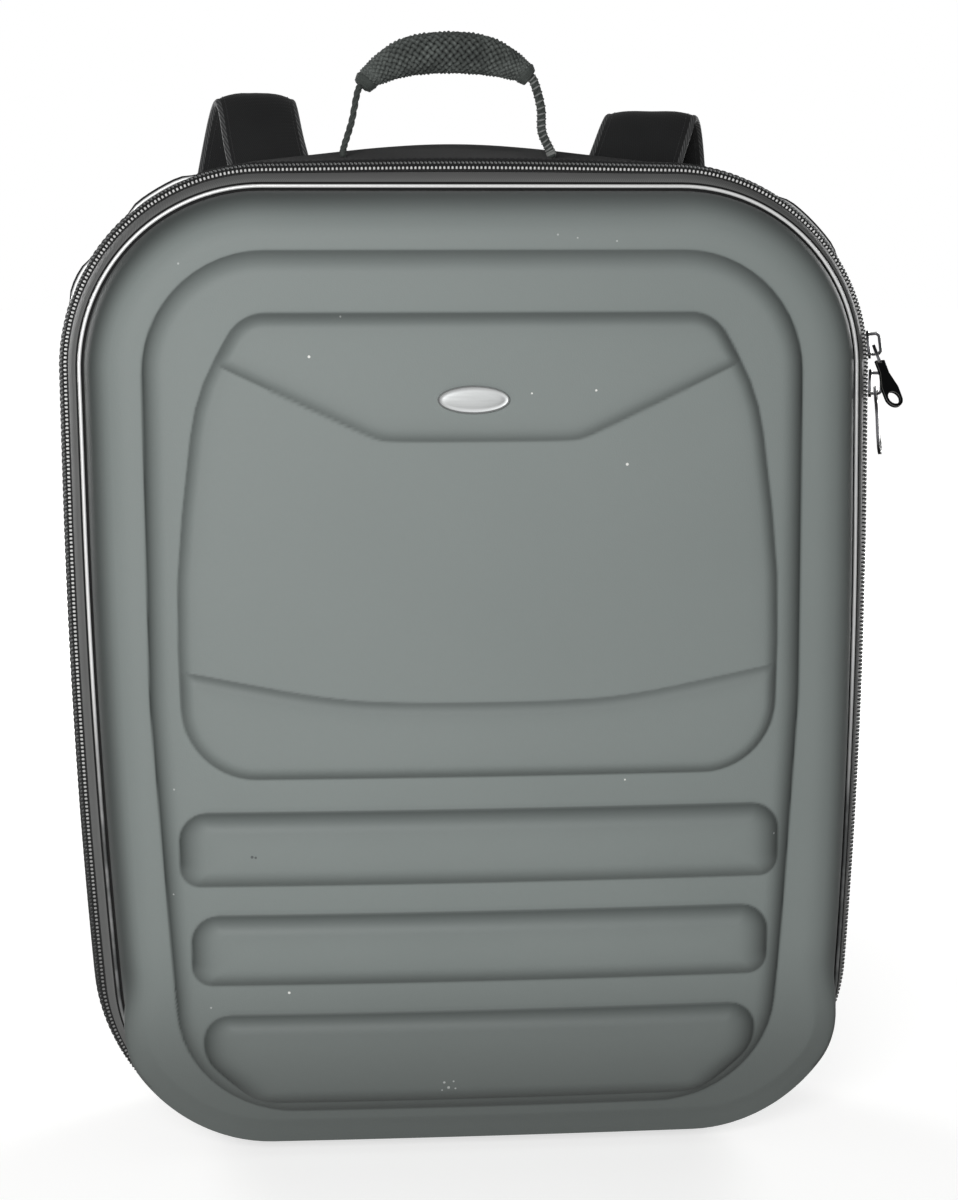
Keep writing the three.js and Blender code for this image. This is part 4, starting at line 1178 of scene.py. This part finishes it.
# A stitch from end to end: place as a share of its length, lift and thickness as shares of its radius
STITCH_ROWS = table(
    "along lift share",
    (-0.5, -0.6, 0.5),
    (-0.36, 0.3, 1),
    (0, 0.6, 1),
    (0.36, 0.3, 1),
    (0.5, -0.6, 0.5),
)
SEWN_OFFSET = 0.0100
SEWN_DEPTHS = {"stitch_gusset_front": 0.0285, "stitch_gusset_rear": 0.1225}
THREAD_DARK = (0.012, 0.012, 0.013, 1)
THREAD_LIGHT = (0.045, 0.045, 0.046, 1)


def stitch_form():
    """One stitch: a short thread that dips into the cloth at both ends."""
    angles = even_angles(STITCH_SIDES)
    rings = []
    for row in STITCH_ROWS:
        across = STITCH_RADIUS * row["share"] * np.cos(angles)
        out = STITCH_RADIUS * (row["share"] * np.sin(angles) + row["lift"])
        rings.append(np.column_stack([np.full(STITCH_SIDES, row["along"] * STITCH_LENGTH), across, out]))
    return stacked(rings)


def sew(name, places, travel, out, finish, slot):
    """Row of stitches at places along a seam, with their directions along it and out of the cloth."""
    stitches = repeat_form(name, *stitch_form(), places, [travel, np.cross(out, travel), out])
    add_piece(name, stitches, [finish])


thread_finish = cloth_finish("sewing_thread", THREAD_DARK, THREAD_LIGHT, threads=2000.0, rough=0.6)
outer_rows = [k for k, (offset, _) in enumerate(gusset_section) if offset > SEWN_OFFSET]
for name, depth in SEWN_DEPTHS.items():
    nearest = min(outer_rows, key=lambda k: abs(gusset_section[k][1] - depth))
    places, travel = even_places(gusset_loops[nearest], STITCH_PITCH)
    sew(name, places, travel, outward(places, travel), thread_finish, "body_fabric")


# Rear piping
# The same silver cord, sewn into the rear seam of the gusset. It stands out further round the upper corners.
REAR_PIPING = {"sunk": 0.0090, "proud": 0.0112, "depth": 0.1264, "radius": 0.0014}


def cord_loops(sunk, proud, depth, radius, share_of):
    """Loops of a cord round the bag, which comes out from one offset to another by a share at each point."""
    loops = []
    for rise, level in round_section(0, depth, radius, PIPING_SIDES):
        low = bag_outline(sunk + rise, level)
        high = bag_outline(proud + rise, level)
        loops.append(low + (high - low) * share_of(low)[:, None])
    return loops


rear_piping_mesh = loft("rear_piping_cord", cord_loops(**REAR_PIPING, share_of=corner_share), joined=True)
add_piece("rear_piping_cord", rear_piping_mesh, [silver_film], ["rear_piping"])


# Seam piping
# A thinner silver cord in the seam between the rear zip tape and the gusset, with a fold of the gusset's
# cloth behind it. Both lie inside the seam, and come out over the zip where it gapes at the upper corners.
SEAM_HIDDEN = 0.0085
SEAM_CORDS = table(
    "name slot finish proud depth radius",
    ("seam_piping_cord", "piping", silver_film, 0.0110, 0.0254, 0.0009),
    ("seam_fold", "body_fabric", gusset_finish, 0.0119, 0.0268, 0.0010),
)
# Places round the upper corners, in degrees about each corner's centre from the right-hand side up
SEAM_GAPES = table("middle half", (45, 17), (120, 15), (154, 11))
GAPE_FADE = 9


def gape_share(loop):
    """How far the seam is open at each point of a loop."""
    across = np.sign(loop[:, 0]) * np.maximum(0, np.abs(loop[:, 0]) - HALF_WIDTH + FRONT_TOP_RADIUS)
    angle = np.degrees(np.arctan2(loop[:, 2] - TOP + FRONT_TOP_RADIUS, across))
    shares = [smooth_step(row["half"] - np.abs(angle - row["middle"]), 0, GAPE_FADE) for row in SEAM_GAPES]
    return np.max(shares, axis=0)


for row in SEAM_CORDS:
    seam_loops = cord_loops(SEAM_HIDDEN, row["proud"], row["depth"], row["radius"], gape_share)
    add_piece(row["name"], loft(row["name"], seam_loops, joined=True), [row["finish"]])


# Back panel
# A padded panel of black mesh over foam that closes the rear of the bag. It is swollen by a cloth simulation,
# held at its edge and at its inner face.
PANEL_EDGE_OFFSET = 0.008
PANEL_FRONT = 0.1245
PANEL_LIP = 0.1255
PANEL_REAR = 0.1310
PANEL_ROUND = 0.004
PANEL_HEART = 0.5
PANEL_FREE = 0.0015
PANEL_VOXEL = 0.005
PANEL_PRESSURE = 4.0
PANEL_CAP = 0.0065
SWELL_FRAMES = 20
MESH_DARK = (0.006, 0.006, 0.0065, 1)
MESH_LIGHT = (0.045, 0.046, 0.048, 1)
MESH_CELL = 0.0042
MESH_HOLE = {"from": 0.15, "to": 0.45}
MESH_FADE = 0.3


def panel_loops():
    """Loops from the middle of the inner face, round the edge, to the middle of the outer face."""
    edge = bag_outline(PANEL_EDGE_OFFSET, REAR_DEPTH)
    inward = bag_outline(PANEL_EDGE_OFFSET - PANEL_ROUND, REAR_DEPTH)
    rows = table(
        "loop share depth",
        (inward, PANEL_HEART, PANEL_FRONT),
        (inward, 1, PANEL_FRONT),
        (edge, 1, PANEL_LIP),
        (edge, 1, PANEL_REAR - PANEL_ROUND),
        (inward, 1, PANEL_REAR),
        (inward, PANEL_HEART, PANEL_REAR),
    )
    loops = [shrunk(row["loop"], row["share"]) for row in rows]
    for loop, row in zip(loops, rows):
        loop[:, 1] = row["depth"]
    return loops


def swell(piece, voxel, pressure, cap, held):
    """Remeshes a padded piece and inflates it, with the points that held() names kept in place."""
    remesh = piece.modifiers.new("remesh", "REMESH")
    remesh.mode = "VOXEL"
    remesh.voxel_size = voxel
    graph = bpy.context.evaluated_depsgraph_get()
    piece.data = bpy.data.meshes.new_from_object(piece.evaluated_get(graph))
    piece.modifiers.clear()
    start = np.array([vertex.co for vertex in piece.data.vertices])
    fixed = piece.vertex_groups.new(name="held")
    fixed.add(np.flatnonzero(held(start)).tolist(), 1.0, "REPLACE")
    cloth = piece.modifiers.new("cloth", "CLOTH")
    cloth.settings.vertex_group_mass = "held"
    cloth.settings.use_pressure = True
    cloth.settings.uniform_pressure_force = pressure
    cloth.settings.effector_weights.gravity = 0
    scene = bpy.context.scene
    for step in range(1, SWELL_FRAMES + 1):
        scene.frame_set(step)
    graph = bpy.context.evaluated_depsgraph_get()
    swollen = np.array([vertex.co for vertex in piece.evaluated_get(graph).data.vertices])
    piece.modifiers.clear()
    scene.frame_set(1)
    move = swollen - start
    length = np.linalg.norm(move, axis=1)[:, None]
    moved = start + move * np.minimum(1, cap / np.maximum(length, TINY))
    piece.data.vertices.foreach_set("co", moved.astype(np.float32).ravel())
    piece.vertex_groups.clear()
    piece.data.shade_smooth()
    refine = piece.modifiers.new("refine", "SUBSURF")
    refine.levels = 1
    refine.render_levels = 1


def mesh_finish():
    """Spacer mesh: small dark holes in black knit."""
    finish, tree, shader = new_finish("spacer_mesh", {
        "Roughness": 0.85, "Sheen Weight": 0.3, "Specular IOR Level": 0.2})
    place = add_node(tree, "TexCoord").outputs["Object"]
    cells = add_node(tree, "TexVoronoi", {"Vector": place, "Scale": 1 / MESH_CELL, "Randomness": 0.25})
    knit = map_range(tree, cells.outputs["Distance"], MESH_HOLE["from"], MESH_HOLE["to"])
    patch, _ = add_mottle(tree, patch=25.0, grain=900.0)
    share = math_node(tree, "MULTIPLY", knit, math_node(tree, "ADD", patch, MESH_FADE))
    tree.links.new(mix_colour(tree, share, MESH_DARK, MESH_LIGHT), shader.inputs["Base Color"])
    add_bump(tree, shader, knit, distance=0.0005)
    return finish


panel_mesh = loft("back_pad", panel_loops())
back_panel = add_piece("back_pad", panel_mesh, [mesh_finish()], ["back_panel"])
swell(back_panel, PANEL_VOXEL, PANEL_PRESSURE, PANEL_CAP,
      lambda points: points[:, 1] < SEAM + PANEL_REAR - PANEL_FREE)


# Top handle
# A hand-braided grip over a soft core, whipped with cord at both ends, on two twisted cord legs that are sewn
# into the top of the gusset. It leans a little to the left.
HANDLE_DEPTH = 0.075
GRIP_STATIONS = table(
    "x z radius",
    (-0.049, 0.5355, 0.0044),
    (-0.043, 0.5415, 0.0068),
    (-0.027, 0.5495, 0.0100),
    (-0.007, 0.5520, 0.0108),
    (0.013, 0.5505, 0.0102),
    (0.029, 0.5445, 0.0070),
    (0.035, 0.5400, 0.0042),
)
GRIP_STEPS = 120
GRIP_CORE_INSET = 0.001792
GRIP_CORE_SIDES = 20
STRAND_COUNT = 14
STRAND_TURNS = 2.3
STRAND_RADIUS = 0.00112
STRAND_WAVE = 0.0010
STRAND_SIDES = 8
GAP_DEPTH = 0.0029
WHIP_TURNS = 4
WHIP_STEPS = 104
WHIP_RADIUS = 0.00125
WHIP_SPANS = [(0.0, 0.085), (0.920, 1.0)]
# Each leg starts at an end station of the grip, away from the station before it. Its way gives x, and the
# height over its foot.
LEFT_WAY = [(-0.0545, 0.017), (-0.0586, 0.004), (-0.059, 0.0)]
RIGHT_WAY = [(0.0412, 0.024), (0.0418, 0.012), (0.0458, 0.003), (0.047, 0.0)]
LEGS = table(
    "label end before lay size winding way",
    ("left", 0, 1, 5.0, 0.00085, 0, LEFT_WAY),
    ("right", -1, -2, 7.0, 0.00110, 21, RIGHT_WAY),
)
LEG_STRANDS = 3
LEG_FULLNESS = 1.08
LEG_STEPS = 120
LEG_TUCK = 0.002
LEG_LEAD = 0.003
FOOT_SINK = 0.003
WINDING = {"from": 0.12, "to": 0.97, "steps": 16, "reach": 2.0, "radius": 0.00042, "sides": 6}
BRAID_DARK = (0.014, 0.017, 0.015, 1)
BRAID_LIGHT = (0.120, 0.134, 0.126, 1)
BRAID_FADE = 0.45
KNIT_DARK = (0.008, 0.010, 0.009, 1)
KNIT_LIGHT = (0.300, 0.330, 0.312, 1)
CORE_BLACK = (0.004, 0.005, 0.005, 1)
CORE_GREY = (0.012, 0.014, 0.013, 1)
WINDING_DARK = (0.10, 0.105, 0.10, 1)
WINDING_LIGHT = (0.42, 0.43, 0.42, 1)
# A direction that no cord starts along
OFF_PATH = [0.31, 0.62, 0.72]


def through(points, count):
    """Smooth curve through a few points, at an even number of steps."""
    points = np.asarray(points, float)
    padded = np.concatenate([[2 * points[0] - points[1]], points, [2 * points[-1] - points[-2]]])
    places = np.linspace(0, len(points) - 1, count)
    first = np.minimum(places.astype(int), len(points) - 2)
    t = (places - first)[:, None]
    a, b, c, d = (padded[first + k] for k in range(4))
    square = (2 * a - 5 * b + 4 * c - d) * t ** 2
    cube = (3 * b - a - 3 * c + d) * t ** 3
    return (2 * b + (c - a) * t + square + cube) / 2


def headings(path):
    """Direction of a path at each of its points."""
    return unit(np.gradient(path, axis=0))


def tube_loops(path, radius, sides):
    """Loops of a round tube along a path, turned as little as possible from step to step."""
    tangents = headings(path)
    normal = np.cross(tangents[0], OFF_PATH)
    angles = even_angles(sides)[:, None]
    loops = []
    for point, tangent, size in zip(path, tangents, np.broadcast_to(radius, len(path))):
        normal = unit(normal - tangent * (normal @ tangent))
        side = np.cross(tangent, normal)
        loops.append(point + size * (np.cos(angles) * normal + np.sin(angles) * side))
    return np.array(loops)


def add_cords(name, paths, radius, sides, finish, stands_for=()):
    """Piece of several round cords."""
    cords = one_mesh(name, [loft(name, tube_loops(path, radius, sides)) for path in paths])
    return add_piece(name, cords, [finish], stands_for)


def around(line, upward, radius, angle):
    """Path that winds round a line at a radius and an angle for each step."""
    spoke = np.cos(angle)[:, None] * REARWARDS + np.sin(angle)[:, None] * upward
    return line + np.broadcast_to(radius, len(line))[:, None] * spoke


def mark_crowns(mesh, line, radius):
    """Stores how high each point stands on a braid, from the gaps between its strands to their crowns."""
    points = np.empty(3 * len(mesh.vertices), np.float32)
    mesh.vertices.foreach_get("co", points)
    points = points.reshape(-1, 3) - ORIGIN
    away = np.linalg.norm(points[:, None, :] - line[None, ::2], axis=2)
    nearest = away.argmin(1)
    sunk = radius[::2][nearest] - away[np.arange(len(points)), nearest]
    store_values(mesh, "crown", ramp(sunk, GAP_DEPTH, 0))


def braid_finish(name, dark, light, crowns=False):
    """Twisted cord with a patchy grain. Given crown heights, painted shade darkens the gaps between the
    strands.
    """
    finish, tree, shader = new_finish(name, {
        "Roughness": 0.78, "Sheen Weight": 0.06, "Specular IOR Level": 0.25})
    patch, grain = add_mottle(tree, patch=140.0, grain=2200.0)
    share = math_node(tree, "MULTIPLY", patch, math_node(tree, "ADD", grain, BRAID_FADE))
    if crowns:
        # Painted shade in the gaps between the strands
        crown = add_node(tree, "Attribute", attribute_name="crown").outputs["Fac"]
        share = math_node(tree, "MULTIPLY", share, math_node(tree, "MULTIPLY", crown, crown))
    tree.links.new(mix_colour(tree, share, dark, light), shader.inputs["Base Color"])
    add_bump(tree, shader, grain, distance=0.00025)
    return finish


braid = braid_finish("braided_cord", BRAID_DARK, BRAID_LIGHT)
knit = braid_finish("braided_grip", KNIT_DARK, KNIT_LIGHT, crowns=True)
core_finish = braid_finish("grip_core", CORE_BLACK, CORE_GREY)
winding_finish = braid_finish("winding_thread", WINDING_DARK, WINDING_LIGHT)

grip_rows = through([(row["x"], row["z"], row["radius"]) for row in GRIP_STATIONS], GRIP_STEPS)
grip_line = np.stack([grip_rows[:, 0], np.full(GRIP_STEPS, HANDLE_DEPTH), grip_rows[:, 1]], 1)
grip_up = np.cross(headings(grip_line), REARWARDS)
grip_radius = grip_rows[:, 2]
grip_share = np.linspace(0, 1, GRIP_STEPS)
grip_core_mesh = loft("grip_core", tube_loops(grip_line, grip_radius - GRIP_CORE_INSET, GRIP_CORE_SIDES))
add_piece("grip_core", grip_core_mesh, [core_finish], ["handle_grip"])
strand_paths = []
for strand in range(STRAND_COUNT):
    for way in (1, -1):
        angle = 2 * math.pi * (strand / STRAND_COUNT + way * STRAND_TURNS * grip_share)
        wave = way * STRAND_WAVE * np.cos(math.pi * grip_share * 2 * STRAND_TURNS * STRAND_COUNT)
        radius = grip_radius - STRAND_RADIUS - STRAND_WAVE + wave
        strand_paths.append(around(grip_line, grip_up, radius, angle))
grip_braid = add_cords("grip_braid", strand_paths, STRAND_RADIUS, STRAND_SIDES, knit)
mark_crowns(grip_braid.data, grip_line, grip_radius)

whip_paths = []
for from_share, to_share in WHIP_SPANS:
    share = np.linspace(from_share, to_share, WHIP_STEPS)
    line = between(share, grip_share, grip_line)
    upward = between(share, grip_share, grip_up)
    radius = np.interp(share, grip_share, grip_radius) - WHIP_RADIUS / 2
    whip_paths.append(around(line, upward, radius, np.linspace(0, 2 * math.pi * WHIP_TURNS, WHIP_STEPS)))
add_cords("grip_whipping", whip_paths, WHIP_RADIUS, STRAND_SIDES, braid)

leg_share = np.linspace(0, 1, LEG_STEPS)
for leg in LEGS:
    end, before = (np.array([GRIP_STATIONS[k]["x"], HANDLE_DEPTH, GRIP_STATIONS[k]["z"]])
                   for k in (leg["end"], leg["before"]))
    onward = unit(end - before)
    node = "handle_leg_" + leg["label"]
    foot_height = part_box(node)[0].z - ORIGIN[2] - FOOT_SINK
    way = [np.array([x, HANDLE_DEPTH, foot_height + rise]) for x, rise in leg["way"]]
    line = through([end - LEG_TUCK * onward, end + LEG_LEAD * onward] + way, LEG_STEPS)
    upward = np.cross(headings(line), REARWARDS)
    turn = 2 * math.pi * leg["lay"] * leg_share
    cords = [around(line, upward, leg["size"], turn + start) for start in even_angles(LEG_STRANDS)]
    name = "leg_cord_" + leg["label"]
    add_cords(name, cords, LEG_FULLNESS * leg["size"], STRAND_SIDES, braid, [node])
    if leg["winding"]:
        share = np.linspace(WINDING["from"], WINDING["to"], WINDING["steps"] * leg["winding"])
        wound = around(between(share, leg_share, line), between(share, leg_share, upward),
                       WINDING["reach"] * leg["size"], 2 * math.pi * leg["winding"] * share)
        add_cords(name + "_winding", [wound], WINDING["radius"], WINDING["sides"], winding_finish)


# Shoulder straps
# Two padded straps of black cloth over foam, bound along both edges with a narrow woven tape and sewn to the
# top of the back panel. They arch back over the top edge and hang to the buckles.
STRAP_STATIONS = {
    "left": table(
        "x depth z width thick",
        (0.0840, 0.1390, 0.4280, 0.046, 0.008),
        (0.0880, 0.1396, 0.4640, 0.044, 0.009),
        (0.0970, 0.1510, 0.5060, 0.042, 0.011),
        (0.1020, 0.1730, 0.5300, 0.042, 0.012),
        (0.1070, 0.1960, 0.5020, 0.048, 0.012),
        (0.1140, 0.2040, 0.4320, 0.058, 0.012),
        (0.1190, 0.1990, 0.3450, 0.058, 0.012),
        (0.1220, 0.1830, 0.2620, 0.052, 0.011),
        (0.1264, 0.1650, 0.2009, 0.042, 0.007),
    ),
    "right": table(
        "x depth z width thick",
        (0.0820, 0.1390, 0.4280, 0.050, 0.008),
        (0.0880, 0.1396, 0.4630, 0.049, 0.009),
        (0.1010, 0.1510, 0.5000, 0.048, 0.011),
        (0.1130, 0.1730, 0.5210, 0.048, 0.012),
        (0.1200, 0.1950, 0.4960, 0.052, 0.012),
        (0.1210, 0.2040, 0.4300, 0.060, 0.012),
        (0.1200, 0.1990, 0.3450, 0.058, 0.012),
        (0.1220, 0.1830, 0.2620, 0.052, 0.011),
        (0.1264, 0.1650, 0.2009, 0.042, 0.007),
    ),
}
SIDES = {"left": -1, "right": 1}
ACROSS = np.array([1.0, 0.0, 0.0])
STRAP_STEPS = 150
STRAP_SIDES = 36
PAD_WIDE_POWER = 0.6
PAD_DEEP_POWER = 0.7
PAD_EDGE_THIN = 0.55
BINDING_WIDTH = 0.0042
BINDING_THICK = 0.0023
BINDING_SIDES = 12
BINDING_INSET = 0.4
STRAP_SEAM_SHARE = 0.82
STRAP_SEAM_STEPS = 320
STRAP_SEWN = slice(4, -4, 2)
STRAP_DARK = (0.008, 0.008, 0.0085, 1)
STRAP_LIGHT = (0.027, 0.028, 0.028, 1)
BINDING_DARK = (0.030, 0.031, 0.032, 1)
BINDING_LIGHT = (0.13, 0.13, 0.13, 1)


def ribbon_frame(stations, side, steps):
    """Centre line of a strap with its directions across and out of it, half width and half thickness."""
    line = through([(side * row["x"], row["depth"], row["z"]) for row in stations], steps)
    size = through([(row["width"] / 2, row["thick"] / 2) for row in stations], steps)
    tangent = headings(line)
    across = unit(ACROSS - tangent * tangent[:, :1])
    return line, across, np.cross(tangent, across), size[:, 0], size[:, 1]


def section_loops(line, across, out, wide, deep):
    """Loops along a line: each section point goes across by its width and out by its depth."""
    return line[:, None] + across[:, None] * wide[..., None] + out[:, None] * deep[..., None]


def pad_loops(line, across, out, half, thick):
    """Crowned padded section: full in the middle, pressed thin at both edges."""
    angles = even_angles(STRAP_SIDES)
    wide = signed_power(np.cos(angles), PAD_WIDE_POWER)
    deep = signed_power(np.sin(angles), PAD_DEEP_POWER) * (1 - PAD_EDGE_THIN * np.abs(wide) ** 3)
    return section_loops(line, across, out, half[:, None] * wide, thick[:, None] * deep)


def binding_loops(line, across, out, half, edge):
    """Flat tape folded over one edge of a strap."""
    angles = even_angles(BINDING_SIDES)
    centre = line + across * (edge * (half - BINDING_INSET * BINDING_WIDTH))[:, None]
    wide = BINDING_WIDTH / 2 * np.cos(angles)[None]
    return section_loops(centre, across, out, wide, BINDING_THICK * np.sin(angles)[None])


strap_finish = cloth_finish("strap_cloth", STRAP_DARK, STRAP_LIGHT, threads=1500.0, slant=0.35, sheen=0.12)
binding_finish = cloth_finish("edge_binding", BINDING_DARK, BINDING_LIGHT, threads=1300.0, slant=1.0)
seam_crown = (1 - STRAP_SEAM_SHARE ** (2 / PAD_WIDE_POWER)) ** (PAD_DEEP_POWER / 2)
seam_rise = seam_crown * (1 - PAD_EDGE_THIN * STRAP_SEAM_SHARE ** 3)
for label, side in SIDES.items():
    line, across, out, half, thick = ribbon_frame(STRAP_STATIONS[label], side, STRAP_STEPS)
    name = "strap_pad_" + label
    pad_mesh = loft(name, pad_loops(line, across, out, half, thick))
    strap = add_piece(name, pad_mesh, [strap_finish], ["shoulder_strap_" + label])
    for edge, word in [(-1, "inner"), (1, "outer")]:
        name = "strap_binding_" + label + "_" + word
        binding_mesh = loft(name, binding_loops(line, across, out, half, edge))
        add_piece(name, binding_mesh, [binding_finish])
    line, across, out, half, thick = ribbon_frame(STRAP_STATIONS[label], side, STRAP_SEAM_STEPS)
    for edge, edge_word in [(-1, "a"), (1, "b")]:
        for face, face_word in [(-1, "i"), (1, "o")]:
            path = line + across * (edge * STRAP_SEAM_SHARE * half)[:, None]
            path = path + out * (face * seam_rise * thick)[:, None]
            rows = [path, headings(path), face * out]
            name = "strap_stitch_" + label + "_" + edge_word + face_word
            sew(name, *(row[STRAP_SEWN] for row in rows), thread_finish, "strap_fabric")


# Buckles and webbing
# Plain moulded ladder buckles, and flat webbing that runs from them to the lower corners of the back panel.
# Folded bands go round the end bars of a buckle, and are sewn to the strap above and the webbing below.
WEBBING_STATIONS = table(
    "x depth z width thick",
    (0.1305, 0.1547, 0.1665, 0.025, 0.002),
    (0.1360, 0.1460, 0.1250, 0.025, 0.002),
    (0.1430, 0.1386, 0.0820, 0.025, 0.002),
    (0.1470, 0.1350, 0.0580, 0.025, 0.002),
)
WEBBING_STEPS = 40
# Section of a flat band with rounded edges, as shares of its half width and half thickness
BAND_CORNERS = np.array([
    (-1, -0.4), (-1, 0.4), (-0.94, 1), (0, 1), (0.94, 1),
    (1, 0.4), (1, -0.4), (0.94, -1), (0, -1), (-0.94, -1),
])
# Way of a folded band from its seam to the slot: along the buckle from its middle, and out of its plane
FOLD_WAY = [
    (0.0260, 0.0007), (0.0200, 0.0023), (0.0150, 0.0031), (0.0090, 0.0031), (0.0058, 0.0022), (0.0046, 0.0),
]
FOLD_HALF_WIDTH = 0.012
FOLD_HALF_THICK = 0.0007
FOLD_STEPS = 60
BUCKLE_BEVEL = 0.0008
BUCKLE_BLACK = (0.012, 0.012, 0.013, 1)
BUCKLE_GREY = (0.024, 0.024, 0.025, 1)


def band_loops(line, across, out, half, thick):
    """Loops of a flat band along a line, with its half width and half thickness at each step."""
    wide, deep = BAND_CORNERS.T
    return section_loops(line, across, out, half[:, None] * wide, thick[:, None] * deep)


def fold_loops(strap_end, webbing_start, way):
    """Loops of the band folded round a buckle's upper (1) or lower (-1) end bar."""
    along = unit(strap_end - webbing_start)
    across = unit(ACROSS - along * along[0])
    plane = np.cross(across, along)
    middle = (strap_end + webbing_start) / 2
    places = FOLD_WAY + [(reach, -lift) for reach, lift in FOLD_WAY[-2::-1]]
    line = through([middle + way * reach * along + lift * plane for reach, lift in places], FOLD_STEPS)
    half, thick = np.full(FOLD_STEPS, FOLD_HALF_WIDTH), np.full(FOLD_STEPS, FOLD_HALF_THICK)
    return band_loops(line, np.tile(across, (FOLD_STEPS, 1)), np.cross(headings(line), across), half, thick)


def buckle_finish():
    """Moulded plastic with a fine grain."""
    finish, tree, shader = new_finish("moulded_black", {"Specular IOR Level": 0.45})
    patch, grain = add_mottle(tree, patch=60.0, grain=1800.0)
    tree.links.new(mix_colour(tree, patch, BUCKLE_BLACK, BUCKLE_GREY), shader.inputs["Base Color"])
    vary_roughness(tree, shader, grain, low=0.36, high=0.52)
    add_bump(tree, shader, grain, distance=0.00006)
    return finish


moulded_black = buckle_finish()
webbing_finish = cloth_finish("webbing", STRAP_DARK, STRAP_LIGHT, threads=1300.0, slant=0.15, relief=0.0003)
for label, side in SIDES.items():
    node = "strap_buckle_" + label
    buckle_mesh = softened_copy(node, node + "_moulded", BUCKLE_BEVEL)
    add_piece(node + "_moulded", buckle_mesh, [moulded_black], [node])
    node = "strap_webbing_" + label
    webbing_loops = band_loops(*ribbon_frame(WEBBING_STATIONS, side, WEBBING_STEPS))
    add_piece(node + "_woven", loft(node + "_woven", webbing_loops), [webbing_finish], [node])
    strap_end, webbing_start = (np.array([side * row["x"], row["depth"], row["z"]])
                                for row in (STRAP_STATIONS[label][-1], WEBBING_STATIONS[0]))
    for word, way in [("upper", 1), ("lower", -1)]:
        name = "buckle_fold_" + label + "_" + word
        fold_mesh = loft(name, fold_loops(strap_end, webbing_start, way))
        add_piece(name, fold_mesh, [webbing_finish])
